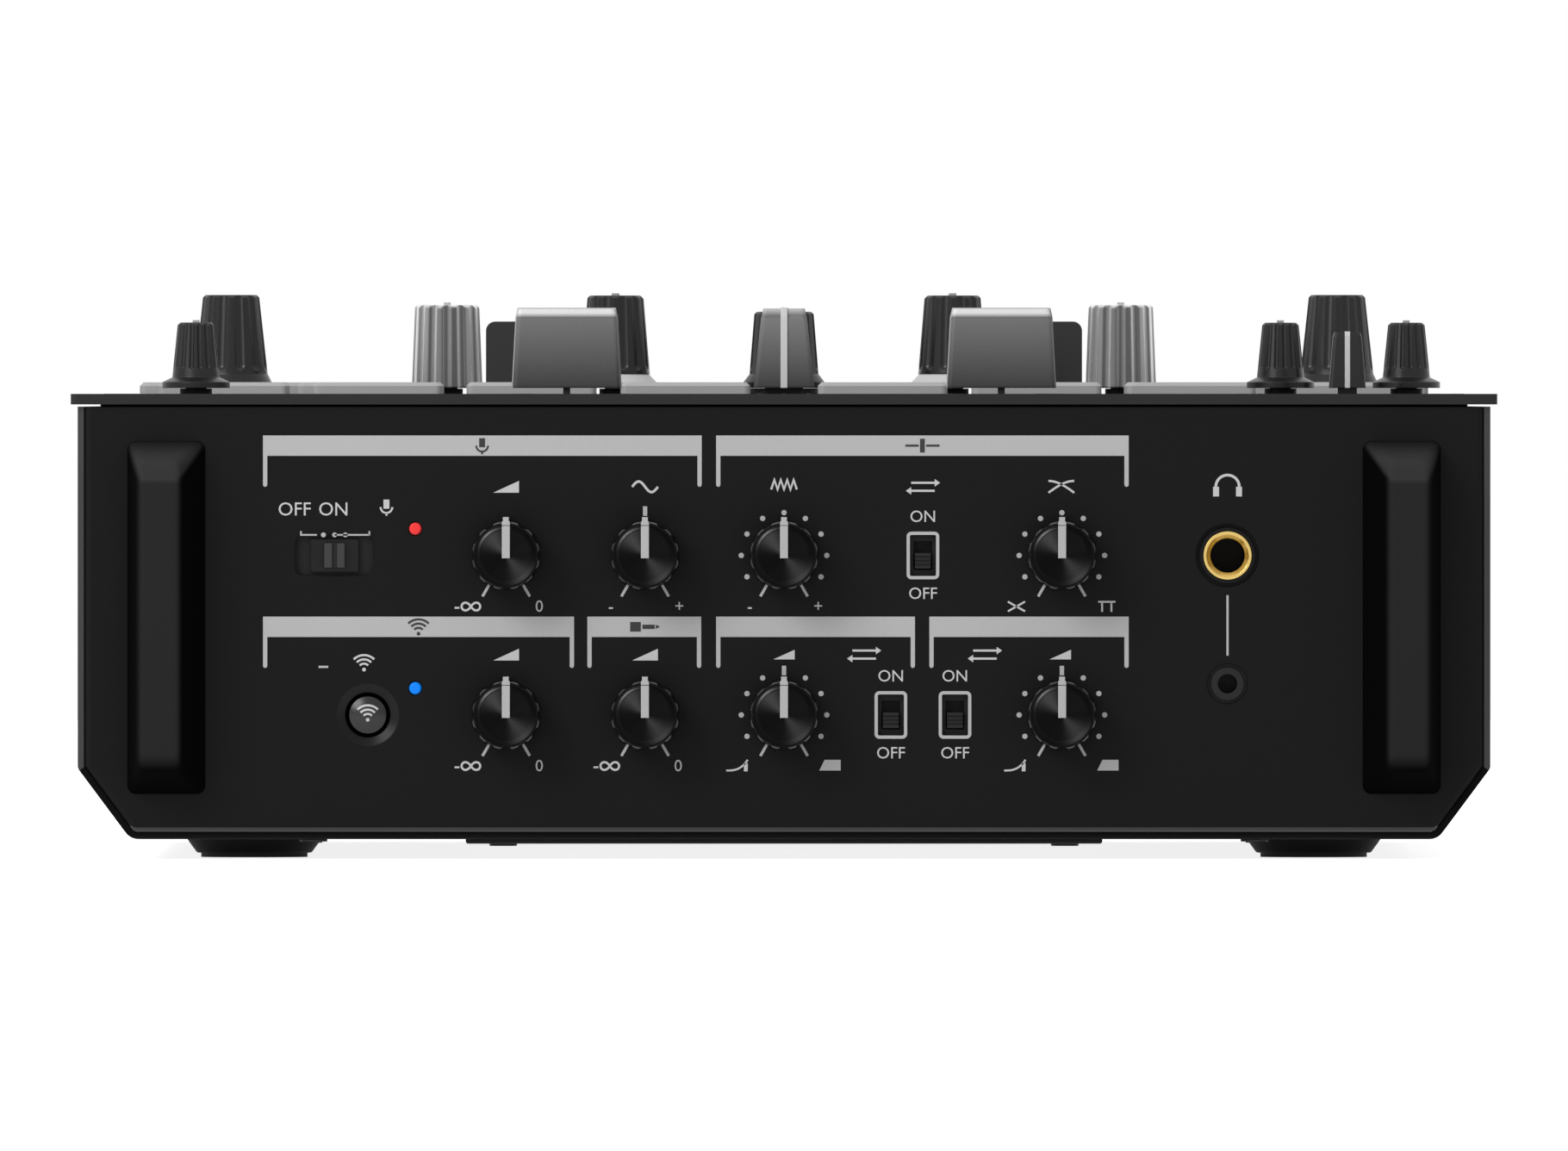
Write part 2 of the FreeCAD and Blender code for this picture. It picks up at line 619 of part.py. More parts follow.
def rounded_block(width, height, radius, z_low, z_high):
    face = Part.Face(rounded_wire(width, height, radius, z_low))
    return face.extrude(Vector(0, 0, z_high - z_low))


def tapered_block(sections):
    """A solid through rounded rectangles given as (width, height, corner radius, z)."""
    return Part.makeLoft([rounded_wire(*section) for section in sections], True, True)


def softened(solid, radius, chosen):
    return solid.makeFillet(radius, [edge for edge in solid.Edges if chosen(edge)])


def lies_at_height(z):
    return lambda edge: all(abs(vertex.Z - z) < SKIM_CLEARANCE for vertex in edge.Vertexes)


# Placing: a piece is made upright with z = 0 on the surface that it stands on.
def on_plate(solid, place):
    moved = solid.copy()
    moved.translate(Vector(place[0], place[1], PLATE_TOP))
    return moved


def on_front(solid, place):
    moved = solid.copy()
    moved.rotate(Vector(0, 0, 0), Vector(1, 0, 0), 90)
    moved.translate(Vector(place[0], FRONT_Y, place[1]))
    return moved


def on_rear(solid, place):
    moved = solid.copy()
    moved.rotate(Vector(0, 0, 0), Vector(1, 0, 0), 90)
    moved.rotate(Vector(0, 0, 0), Vector(0, 0, 1), 180)
    moved.translate(Vector(place[0], REAR_Y, place[1]))
    return moved


def mirrored(solid):
    return solid.mirror(Vector(0, 0, 0), Vector(1, 0, 0))


# Case section, shared by the folded shell and the two end panels.
def case_corners(inset):
    half = CASE_WIDTH / 2
    slope = math.hypot(CHAMFER_WIDTH, CHAMFER_HEIGHT)
    upper = (
        half - inset,
        CASE_BOTTOM + CHAMFER_HEIGHT + inset * (slope - CHAMFER_HEIGHT) / CHAMFER_WIDTH,
    )
    lower = (
        half - CHAMFER_WIDTH - inset * (slope - CHAMFER_WIDTH) / CHAMFER_HEIGHT,
        CASE_BOTTOM + inset,
    )
    return upper, lower


def case_prism(inset, y_start, y_end, top):
    upper, lower = case_corners(inset)
    right = [(upper[0], top), upper, lower]
    outline = right + [(-x, z) for x, z in reversed(right)]
    corners = [Vector(x, y_start, z) for x, z in outline]
    face = Part.Face(Part.makePolygon(corners + corners[:1]))
    prism = face.extrude(Vector(0, y_end - y_start, 0))
    for (x, z), radius in ((upper, UPPER_BEND_RADIUS), (lower, LOWER_BEND_RADIUS)):
        bend = max(radius - inset, TIGHTEST_BEND)
        prism = softened(prism, bend, lambda edge: is_bend(edge, x, z))
    return prism


def is_bend(edge, x, z):
    return all(
        abs(abs(vertex.X) - x) < SKIM_CLEARANCE and abs(vertex.Z - z) < SKIM_CLEARANCE
        for vertex in edge.Vertexes
    )


# Screws: the countersunk ones lie flush, the low and pan heads stand on their surface.
def countersunk_screw(point, inward):
    inward = Vector(*inward)
    head = Part.makeCone(
        SCREW_HEAD_RADIUS, SCREW_RADIUS, SCREW_HEAD_DEPTH, Vector(*point), inward
    )
    shank = Part.makeCylinder(SCREW_RADIUS, SCREW_LENGTH, Vector(*point), inward)
    return head.fuse(shank).removeSplitter()


def headed_screw(point, inward, head_height, length=SCREW_LENGTH):
    inward = Vector(*inward)
    seat = Vector(*point)
    head = Part.makeCylinder(SCREW_HEAD_RADIUS, head_height, seat, inward * -1)
    shank = Part.makeCylinder(SCREW_RADIUS, length, seat, inward)
    return head.fuse(shank).removeSplitter()


def board_corners(x, y, width, depth):
    half_width = width / 2 - BOARD_SCREW_INSET
    half_depth = depth / 2 - BOARD_SCREW_INSET
    return [(x + i * half_width, y + j * half_depth) for i in (-1, 1) for j in (-1, 1)]


BOARD_SCREW_PLACES = board_corners(
    MAIN_BOARD_X, MAIN_BOARD_Y, MAIN_BOARD_WIDTH, MAIN_BOARD_DEPTH
) + board_corners(SUPPLY_X, SUPPLY_Y, SUPPLY_WIDTH, SUPPLY_DEPTH)


def plate_screws():
    first = FRONT_Y + 2 * PANEL_FLANGE
    step = (CASE_DEPTH - 4 * PANEL_FLANGE) / (TOP_SCREW_COUNT - 1)
    return [
        countersunk_screw((side * TOP_SCREW_X, first + index * step, PLATE_TOP), (0, 0, -1))
        for side in (-1, 1)
        for index in range(TOP_SCREW_COUNT)
    ]


def side_screws():
    """Flush screws that hold each end panel's flanges to the sides of the shell."""
    depths = (FRONT_Y + PANEL_FLANGE / 2 + SHELL_SETBACK, REAR_Y - PANEL_FLANGE / 2 - SHELL_SETBACK)
    heights = (CASE_BOTTOM + SIDE_SCREW_UP, CASE_TOP - SIDE_SCREW_BELOW_TOP)
    return [
        countersunk_screw((side * CASE_WIDTH / 2, y, z), (-side, 0, 0))
        for side in (-1, 1)
        for y in depths
        for z in heights
    ]


def underside_screws():
    """Low heads under the case: into the end panels, and through the service cover."""
    depths = (FRONT_Y + PANEL_FLANGE / 2 + SHELL_SETBACK, REAR_Y - PANEL_FLANGE / 2 - SHELL_SETBACK)
    panel_screws = [
        headed_screw((side * BOTTOM_SCREW_X, y, CASE_BOTTOM), (0, 0, 1), LOW_HEAD_HEIGHT)
        for side in (-1, 1)
        for y in depths
    ]
    lap_x = COVER_WIDTH / 2 - COVER_LAP / 2
    lap_y = COVER_DEPTH / 2 - COVER_LAP / 2
    cover_screws = [
        headed_screw(
            (i * lap_x, COVER_Y + j * lap_y, CASE_BOTTOM - COVER_THICKNESS), (0, 0, 1), LOW_HEAD_HEIGHT
        )
        for i in (-1, 1)
        for j in (-1, 1)
    ]
    return panel_screws + cover_screws


def foot_screws():
    """Screws from inside the case, down into the feet."""
    reach = SHEET + FOOT_HEIGHT - FOOT_PAD_PROUD - FOOT_PAD_SEAT
    return [
        headed_screw((x, y, FLOOR_TOP), (0, 0, -1), PAN_HEAD_HEIGHT, reach)
        for x, y in FOOT_PLACES
    ]


def bumper_screws():
    return [
        headed_screw(
            (side * BUMPER_X, FRONT_Y + PANEL_SHEET, bumper_centre() + end * BUMPER_SCREW_SPACING / 2),
            (0, -1, 0),
            PAN_HEAD_HEIGHT,
        )
        for side in (-1, 1)
        for end in (-1, 1)
    ]


def board_screws():
    return [headed_screw((x, y, BOARD_TOP), (0, 0, -1), PAN_HEAD_HEIGHT) for x, y in BOARD_SCREW_PLACES]


def bumper_centre():
    return CASE_BOTTOM + BUMPER_UP


SCREWS = (
    plate_screws()
    + side_screws()
    + underside_screws()
    + foot_screws()
    + bumper_screws()
    + board_screws()
)


def drilled(solid):
    """The piece with a hole for every screw that reaches it."""
    near = [screw for screw in SCREWS if screw.BoundBox.intersect(solid.BoundBox)]
    return solid.cut(near) if near else solid


# Case pieces.
def body_shell():
    y_start = FRONT_Y + SHELL_SETBACK
    y_end = REAR_Y - SHELL_SETBACK
    shell = case_prism(0.0, y_start, y_end, CASE_TOP)
    shell = shell.cut(case_prism(SHEET, y_start - SHEET, y_end + SHEET, CASE_TOP + SHEET))
    flange_y = (FRONT_Y + PANEL_FLANGE, REAR_Y - PANEL_FLANGE)
    added = []
    for side in (-1, 1):
        wall = CASE_WIDTH / 2 - SHEET / 2
        inner = LEDGE_X - LEDGE_WIDTH
        flange = sorted((side * inner, side * wall))
        ledge = sorted((side * inner, side * LEDGE_X))
        added.append(block(flange, flange_y, (CASE_TOP - SHEET, CASE_TOP)))
        added.append(block(ledge, flange_y, (CASE_TOP - SHEET / 2, PLATE_UNDERSIDE)))
    for x, y in BOARD_SCREW_PLACES:
        added.append(rod(STANDOFF_RADIUS, (x, y, FLOOR_TOP - SHEET / 2), (x, y, BOARD_BOTTOM)))
    shell = shell.fuse(added).removeSplitter()
    return drilled(shell.cut(side_vents() + [service_opening()]))


def side_vents():
    vents = []
    for side in (-1, 1):
        wall = sorted((side * (CASE_WIDTH / 2 - 2 * SHEET), side * (CASE_WIDTH / 2 + SHEET)))
        for index in range(VENT_COUNT):
            y = REAR_Y - VENT_FROM_REAR - index * VENT_PITCH
            z = CASE_BOTTOM + VENT_UP
            vents.append(
                block(
                    wall,
                    (y - VENT_WIDTH / 2, y + VENT_WIDTH / 2),
                    (z - VENT_HEIGHT / 2, z + VENT_HEIGHT / 2),
                )
            )
    return vents


def service_opening():
    half_width = COVER_WIDTH / 2 - COVER_LAP
    half_depth = COVER_DEPTH / 2 - COVER_LAP
    return block(
        (-half_width, half_width),
        (COVER_Y - half_depth, COVER_Y + half_depth),
        (CASE_BOTTOM - SHEET, FLOOR_TOP + SHEET),
    )


def bottom_cover():
    half_width = COVER_WIDTH / 2
    low = CASE_BOTTOM - COVER_THICKNESS
    y_span = (COVER_Y - COVER_DEPTH / 2, COVER_Y + COVER_DEPTH / 2)
    cover = block((-half_width, half_width), y_span, (low, CASE_BOTTOM))
    return drilled(softened(cover, COVER_EDGE_RADIUS, lies_at_height(low)))


def end_tray():
    """A panel facing -Y at y = 0 with its flanges turned back and a raised ledge on the top one."""
    tray = case_prism(SHEET, 0.0, PANEL_FLANGE, CASE_TOP)
    tray = softened(
        tray,
        PANEL_EDGE_RADIUS,
        lambda edge: all(abs(vertex.Y) < SKIM_CLEARANCE for vertex in edge.Vertexes)
        and edge.BoundBox.ZMin < CASE_TOP - SKIM_CLEARANCE,
    )
    hollow = case_prism(
        SHEET + PANEL_SHEET, PANEL_SHEET, PANEL_FLANGE + PANEL_SHEET, CASE_TOP - PANEL_SHEET
    )
    ledge = block(
        (-LEDGE_X, LEDGE_X),
        (PANEL_FLANGE - PANEL_LEDGE, PANEL_FLANGE),
        (CASE_TOP - PANEL_SHEET, PLATE_UNDERSIDE),
    )
    return tray.cut(hollow).fuse(ledge).removeSplitter()


def panel_hole(radius, place, put):
    return put(upright_rod(radius, -2 * PANEL_SHEET, PANEL_SHEET), place)


def panel_window(width, height, radius, place, put):
    return put(rounded_block(width, height, radius, -2 * PANEL_SHEET, PANEL_SHEET), place)


def front_panel():
    holes = [panel_hole(BUSH_RADIUS + BUSH_CLEARANCE, place, on_front) for place in FRONT_KNOBS.values()]
    holes += [
        panel_hole(LED_RADIUS + LED_CLEARANCE, place, on_front)
        for place in (RED_LED_PLACE, BLUE_LED_PLACE)
    ]
    holes += [
        panel_hole(BUTTON_HOLE_RADIUS, BUTTON_PLACE, on_front),
        panel_hole(BIG_JACK_HOLE_RADIUS, BIG_JACK_PLACE, on_front),
        panel_hole(SMALL_JACK_HOLE_RADIUS, SMALL_JACK_PLACE, on_front),
    ]
    dish = Part.makeCone(
        BUTTON_HOLE_RADIUS, BUTTON_DISH_RADIUS, BUTTON_DISH_DEPTH, Vector(0, 0, -BUTTON_DISH_DEPTH)
    )
    holes.append(on_front(dish, BUTTON_PLACE))
    holes.append(
        panel_window(
            MIC_WINDOW_WIDTH, MIC_WINDOW_HEIGHT, MIC_WINDOW_RADIUS, MIC_SWITCH_PLACE, on_front
        )
    )
    holes += [
        panel_window(REVERSE_WINDOW_WIDTH, REVERSE_WINDOW_HEIGHT, SWITCH_WALL / 4, place, on_front)
        for place in REVERSE_SWITCHES.values()
    ]
    tray = end_tray()
    tray.translate(Vector(0, FRONT_Y, 0))
    return drilled(tray.cut(holes))


def rear_panel():
    holes = [panel_hole(PHONO_SHELL_RADIUS + PANEL_FIT, place, on_rear) for place in PHONO_PLACES]
    holes += [
        panel_hole(GROUND_POST_NECK_RADIUS + PANEL_FIT, place, on_rear)
        for place in GROUND_POST_PLACES
    ]
    holes += [panel_hole(OUTPUT_BODY_RADIUS + PANEL_FIT, place, on_rear) for place in OUTPUT_PLACES]
    holes += [panel_hole(BOOTH_BUSH_RADIUS + PANEL_FIT, place, on_rear) for place in BOOTH_PLACES]
    fit = 2 * PANEL_FIT
    holes += [
        panel_window(USB_WIDTH + fit, USB_HEIGHT + fit, PANEL_FIT, place, on_rear)
        for place in USB_PLACES
    ]
    holes.append(
        panel_window(INLET_BODY_WIDTH + fit, INLET_BODY_HEIGHT + fit, PANEL_FIT, INLET_PLACE, on_rear)
    )
    holes.append(
        panel_window(
            POWER_FRAME_WIDTH - POWER_FRAME_WALL + fit,
            POWER_FRAME_HEIGHT - POWER_FRAME_WALL + fit,
            PANEL_FIT,
            POWER_PLACE,
            on_rear,
        )
    )
    tray = end_tray().mirror(Vector(0, 0, 0), Vector(0, 1, 0))
    tray.translate(Vector(0, REAR_Y, 0))
    return drilled(tray.cut(holes))


# Top plate with its holes, slots, windows and the bent-down tabs that carry the paddles.
def through_plate(width, depth, radius, place):
    cut = rounded_block(width, depth, radius, -2 * PLATE_THICKNESS, PLATE_THICKNESS)
    return on_plate(cut, place)


def paddle_slot_depth():
    height = PLATE_TOP - PADDLE_PIVOT_Z
    swing = math.radians(PADDLE_SWING)
    lean = height * math.tan(swing) + PADDLE_THICKNESS / 2 / math.cos(swing)
    return 2 * (lean + PADDLE_SLOT_CLEARANCE)


def paddle_tabs(place):
    """Two tabs bent down from the plate, with a bore for the paddle's trunnion in each."""
    x, y = place
    near = PADDLE_WIDTH / 2 + PADDLE_SIDE_GAP
    tabs = []
    for side in (-1, 1):
        span = sorted((x + side * near, x + side * (near + PADDLE_PIN_LENGTH)))
        tab = block(
            span,
            (y - PADDLE_TAB_WIDTH / 2, y + PADDLE_TAB_WIDTH / 2),
            (PADDLE_PIVOT_Z - PADDLE_PIN_RADIUS - PADDLE_TAB_MARGIN, PLATE_UNDERSIDE + PLATE_THICKNESS / 2),
        )
        bore = rod(
            PADDLE_PIN_RADIUS + SHAFT_CLEARANCE,
            (span[0] - PADDLE_TAB_MARGIN, y, PADDLE_PIVOT_Z),
            (span[1] + PADDLE_TAB_MARGIN, y, PADDLE_PIVOT_Z),
        )
        tabs.append(tab.cut(bore))
    return tabs


def top_plate():
    width = CASE_WIDTH + 2 * PLATE_SIDE_OVERHANG
    depth = CASE_DEPTH + 2 * PLATE_END_OVERHANG
    plate = rounded_block(width, depth, PLATE_CORNER_RADIUS, -PLATE_THICKNESS, 0.0)
    plate = on_plate(plate, (0.0, (FRONT_Y + REAR_Y) / 2))
    plate = plate.fuse([tab for place in PADDLES.values() for tab in paddle_tabs(place)])
    bush_hole = upright_rod(BUSH_RADIUS + BUSH_CLEARANCE, -2 * PLATE_THICKNESS, PLATE_THICKNESS)
    cuts = [on_plate(bush_hole, place) for place in PLATE_KNOB_PLACES]
    slot = FADER_BLADE_THICKNESS + 2 * FADER_SLOT_CLEARANCE
    run = FADER_TRAVEL + FADER_BLADE_LENGTH + 2 * FADER_SLOT_CLEARANCE
    cuts += [through_plate(slot, run, slot / 4, place) for place in CHANNEL_SLOTS.values()]
    cuts.append(through_plate(run, slot, slot / 4, CROSSFADER_PLACE))
    mix_run = MIX_TRAVEL + MIX_BLADE_LENGTH + 2 * FADER_SLOT_CLEARANCE
    cuts.append(through_plate(mix_run, slot, slot / 4, MIX_PLACE))
    paddle_gap = PADDLE_WIDTH + 2 * PADDLE_SIDE_GAP
    cuts += [
        through_plate(paddle_gap, paddle_slot_depth(), PADDLE_SIDE_GAP, place)
        for place in PADDLES.values()
    ]
    for mat in MATS:
        cuts += [
            through_plate(
                key_width + 2 * PAD_WINDOW_GAP,
                key_depth + 2 * PAD_WINDOW_GAP,
                PAD_CORNER_RADIUS + PAD_WINDOW_GAP,
                (x, y),
            )
            for x, y, key_width, key_depth in mat
        ]
    meter = rounded_block(METER_WIDTH, METER_DEPTH, METER_CORNER_RADIUS, -METER_SUNK, PLATE_THICKNESS)
    cuts.append(on_plate(meter, METER_PLACE))
    return drilled(plate.cut(cuts))


# Pads and keys. A mat is a list of keys, each (x, y, width, depth).
def pad_mat_keys(side):
    return [
        (
            side * (PAD_FIRST_X + column * PAD_PITCH),
            FRONT_Y + PAD_FROM_FRONT + row * PAD_ROW_PITCH,
            PAD_WIDTH,
            PAD_DEPTH,
        )
        for row in range(PAD_ROWS)
        for column in range(PAD_COLUMNS)
    ]


def mode_mat_keys(side):
    y = FRONT_Y + MODE_KEY_FROM_FRONT
    return [
        (side * (MODE_KEY_X + index * MODE_KEY_PITCH), y, MODE_KEY_WIDTH, MODE_KEY_DEPTH)
        for index in range(MODE_KEYS)
    ]


def effect_mat_keys(side):
    return [
        (
            side * (EFFECT_KEY_X + column * EFFECT_KEY_PITCH_X),
            FRONT_Y + EFFECT_KEY_FROM_FRONT + row * EFFECT_KEY_PITCH_Y,
            EFFECT_KEY_WIDTH,
            EFFECT_KEY_DEPTH,
        )
        for row in range(EFFECT_KEY_ROWS)
        for column in range(EFFECT_KEY_COLUMNS)
    ]


MATS = [
    keys(side) for keys in (pad_mat_keys, mode_mat_keys, effect_mat_keys) for side in (-1, 1)
]
METER_PLACE = (0.0, FRONT_Y + METER_FROM_FRONT)


def key_mat(keys):
    """One moulding: a sheet under the plate, a rim down to the board, and bevelled keys on top."""
    lap = PAD_WINDOW_GAP + MAT_LAP
    low_x = min(x - width / 2 for x, y, width, depth in keys) - lap
    high_x = max(x + width / 2 for x, y, width, depth in keys) + lap
    low_y = min(y - depth / 2 for x, y, width, depth in keys) - lap
    high_y = max(y + depth / 2 for x, y, width, depth in keys) + lap
    mat = block((low_x, high_x), (low_y, high_y), (CONTROL_BOARD_TOP, PLATE_UNDERSIDE))
    mat = mat.cut(
        block(
            (low_x + MAT_RIM, high_x - MAT_RIM),
            (low_y + MAT_RIM, high_y - MAT_RIM),
            (CONTROL_BOARD_TOP - MAT_RIM, PLATE_UNDERSIDE - MAT_SHEET),
        )
    )
    caps = []
    for x, y, width, depth in keys:
        cap = tapered_block(
            [
                (width, depth, PAD_CORNER_RADIUS, -PLATE_THICKNESS - MAT_SHEET / 2),
                (width, depth, PAD_CORNER_RADIUS, PAD_HEIGHT - PAD_BEVEL),
                (width - 2 * PAD_BEVEL, depth - 2 * PAD_BEVEL, PAD_CORNER_RADIUS, PAD_HEIGHT),
            ]
        )
        caps.append(on_plate(cap, (x, y)))
    return mat.fuse(caps).removeSplitter()


def pad_mats():
    return [key_mat(keys) for keys in MATS]


def level_meter():
    strip = rounded_block(METER_WIDTH, METER_DEPTH, METER_CORNER_RADIUS, -METER_SUNK, 0.0)
    return on_plate(strip, METER_PLACE)


# Feet.
def feet():
    pieces = []
    for x, y in FOOT_PLACES:
        low = FOOT_PAD_PROUD
        cone = Part.makeCone(FOOT_LOW_RADIUS, FOOT_TOP_RADIUS, FOOT_HEIGHT - low, Vector(x, y, low))
        cone = softened(cone, FOOT_EDGE_RADIUS, lies_at_height(low))
        seat = rod(FOOT_PAD_RADIUS, (x, y, 0), (x, y, low + FOOT_PAD_SEAT))
        pieces.append(drilled(cone.cut(seat)))
    return pieces


def foot_pads():
    return [
        rod(FOOT_PAD_RADIUS, (x, y, 0), (x, y, FOOT_PAD_PROUD + FOOT_PAD_SEAT)) for x, y in FOOT_PLACES
    ]


# Front bumpers: soft tapered bars, steeper on the outside.
def front_bumpers():
    base = rounded_wire(BUMPER_BASE_WIDTH, BUMPER_BASE_HEIGHT, BUMPER_CORNER_RADIUS, 0.0)
    face = rounded_wire(
        BUMPER_FACE_WIDTH,
        BUMPER_FACE_HEIGHT,
        BUMPER_CORNER_RADIUS,
        BUMPER_PROUD,
        BUMPER_FACE_OUTWARD,
        BUMPER_FACE_UPWARD,
    )
    bar = Part.makeLoft([base, face], True, True)
    bar = softened(bar, BUMPER_EDGE_RADIUS, lies_at_height(BUMPER_PROUD))
    right = on_front(bar, (BUMPER_X, bumper_centre()))
    return [drilled(right), drilled(mirrored(right))]


# Rotary controls.
def pot_body(wall, bush_proud):
    """Housing behind a wall of the given thickness, its bush through the wall, and the shaft bore."""
    back = -wall - POT_DEPTH
    housing = centred_block(POT_WIDTH, POT_WIDTH, back, -wall)
    bush = upright_rod(BUSH_RADIUS, -wall - POT_FLOOR, bush_proud)
    bore = upright_rod(SHAFT_RADIUS + SHAFT_CLEARANCE, back + POT_FLOOR, bush_proud + POT_DEPTH)
    return housing.fuse(bush).cut(bore).removeSplitter()


def pot_bodies():
    front = pot_body(PANEL_SHEET, FRONT_KNOB_GAP - KNOB_GAP)
    top = pot_body(PLATE_THICKNESS, PLATE_KNOB_LIFT - KNOB_GAP)
    pieces = [on_front(front, place) for place in FRONT_KNOBS.values()]
    return pieces + [on_plate(top, place) for place in PLATE_KNOB_PLACES]


def on_shaft(caps, wall, knob_top):
    """The knob's pieces bored for a shaft that ends under the knob's roof, and that shaft."""
    low = -wall - POT_DEPTH + POT_FLOOR + SHAFT_END_GAP
    shaft = upright_rod(SHAFT_RADIUS, low, knob_top - KNOB_ROOF)
    return [cap.cut(shaft) for cap in caps] + [shaft]


def flutes(count, phase, flute_radius, depth, low, high):
    """Round-ended cutters about a tapered knob; low and high are (radius, z) on its side."""
    run = (high[0] - low[0]) / (high[1] - low[1])
    over = high[0] + run * flute_radius, high[1] + flute_radius
    reach = math.hypot(over[0] - low[0], over[1] - low[1])
    half_turn = flute_radius * math.sqrt(0.5)
    tip = Part.Arc(
        Vector(0, 0, -flute_radius), Vector(half_turn, 0, -half_turn), Vector(flute_radius, 0, 0)
    ).toShape()
    side = Part.makePolygon(
        [
            Vector(flute_radius, 0, 0),
            Vector(flute_radius, 0, reach),
            Vector(0, 0, reach),
            Vector(0, 0, -flute_radius),
        ]
    )
    face = Part.Face(Part.Wire([tip] + side.Edges))
    cutter = face.revolve(Vector(0, 0, 0), Vector(0, 0, 1), 360)
    lean = math.degrees(math.atan(run))
    cutter.rotate(Vector(0, 0, 0), Vector(0, 1, 0), lean)
    cutter.translate(Vector(low[0] + flute_radius - depth, 0, low[1]))
    cutters = []
    for index in range(count):
        turned_cutter = cutter.copy()
        turned_cutter.rotate(Vector(0, 0, 0), Vector(0, 0, 1), 360 * (index + phase) / count)
        cutters.append(turned_cutter)
    return cutters


def front_knob():
    low = FRONT_KNOB_GAP
    high = low + FRONT_KNOB_HEIGHT
    cap = turned(
        [
            (0, low),
            (FRONT_KNOB_BASE_RADIUS, low),
            (FRONT_KNOB_TOP_RADIUS, high - FRONT_KNOB_EDGE),
            (FRONT_KNOB_TOP_RADIUS - FRONT_KNOB_EDGE, high),
            (FRONT_KNOB_DISH_RADIUS, high),
            (0, high - FRONT_KNOB_DISH_DEPTH),
        ]
    )
    cap = cap.cut(
        flutes(
            FRONT_KNOB_SCALLOPS,
            0,
            FRONT_KNOB_SCALLOP_RADIUS,
            FRONT_KNOB_SCALLOP_DEPTH,
            (FRONT_KNOB_BASE_RADIUS, low - KNOB_GAP),
            (FRONT_KNOB_TOP_RADIUS, high),
        )
    )
    bar = block(
        (-FRONT_POINTER_WIDTH / 2, FRONT_POINTER_WIDTH / 2),
        (-FRONT_POINTER_TAIL, FRONT_KNOB_TOP_RADIUS),
        (high - FRONT_KNOB_DISH_DEPTH - FRONT_POINTER_DEPTH, high),
    )
    finger = block(
        (-FRONT_FINGER_WIDTH / 2, FRONT_FINGER_WIDTH / 2),
        (FRONT_KNOB_DISH_RADIUS, FRONT_FINGER_REACH),
        (low, high),
    )
    pointer = bar.fuse(finger).removeSplitter()
    return on_shaft([cap.cut(pointer), pointer], PANEL_SHEET, high)


def top_pointer(top_radius, top):
    return block(
        (-POINTER_WIDTH / 2, POINTER_WIDTH / 2),
        (POINTER_START, top_radius - POINTER_MARGIN),
        (top - POINTER_DEPTH, top + POINTER_PROUD),
    )


def small_knob():
    cap = turned(
        [
            (0, PLATE_KNOB_LIFT),
            (SMALL_KNOB_SKIRT_RADIUS, PLATE_KNOB_LIFT),
            (SMALL_KNOB_SKIRT_RADIUS, PLATE_KNOB_LIFT + SMALL_KNOB_SKIRT_RIM),
            (SMALL_KNOB_BASE_RADIUS, SMALL_KNOB_SKIRT_TOP),
            (SMALL_KNOB_TOP_RADIUS, SMALL_KNOB_TOP - KNOB_EDGE_RADIUS),
            (SMALL_KNOB_TOP_RADIUS - KNOB_EDGE_RADIUS, SMALL_KNOB_TOP),
            (0, SMALL_KNOB_TOP),
        ]
    )
    lean = (SMALL_KNOB_TOP_RADIUS - SMALL_KNOB_BASE_RADIUS) / (SMALL_KNOB_TOP - SMALL_KNOB_SKIRT_TOP)
    groove_foot = SMALL_KNOB_BASE_RADIUS + lean * (SMALL_KNOB_GROOVE_START - SMALL_KNOB_SKIRT_TOP)
    cap = cap.cut(
        flutes(
            SMALL_KNOB_GROOVE_COUNT,
            0.5,
            SMALL_KNOB_GROOVE_RADIUS,
            SMALL_KNOB_GROOVE_DEPTH,
            (groove_foot, SMALL_KNOB_GROOVE_START),
            (SMALL_KNOB_TOP_RADIUS, SMALL_KNOB_TOP),
        )
    )
    pointer = top_pointer(SMALL_KNOB_TOP_RADIUS, SMALL_KNOB_TOP)
    return on_shaft([cap.cut(pointer), pointer], PLATE_THICKNESS, SMALL_KNOB_TOP)


def tall_cap(base_radius, top_radius, low, top):
    """A tapered grip with long shallow flutes that end round above its foot."""
    edge = KNOB_EDGE_RADIUS
    cap = turned(
        [(0, low), (base_radius, low), (top_radius, top - edge), (top_radius - edge, top), (0, top)]
    )
    lean = (top_radius - base_radius) / (top - edge - low)
    flute_foot = base_radius + lean * (KNOB_FLUTE_START - low)
    return cap.cut(
        flutes(
            KNOB_FLUTES,
            0.5,
            KNOB_FLUTE_RADIUS,
            KNOB_FLUTE_DEPTH,
            (flute_foot, KNOB_FLUTE_START),
            (top_radius, top),
        )
    )


def flared_skirt(shoulder_radius):
    return turned(
        [
            (0, PLATE_KNOB_LIFT),
            (FLARE_RADIUS, PLATE_KNOB_LIFT),
            (FLARE_RADIUS, PLATE_KNOB_LIFT + FLARE_RIM),
            (shoulder_radius, FLARE_TOP),
            (0, FLARE_TOP),
        ]
    )


def encoder_knob():
    grip = tall_cap(ENCODER_BASE_RADIUS, ENCODER_TOP_RADIUS, FLARE_TOP, ENCODER_TOP)
    cap = grip.fuse(flared_skirt(ENCODER_BASE_RADIUS)).removeSplitter()
    return on_shaft([cap], PLATE_THICKNESS, ENCODER_TOP)


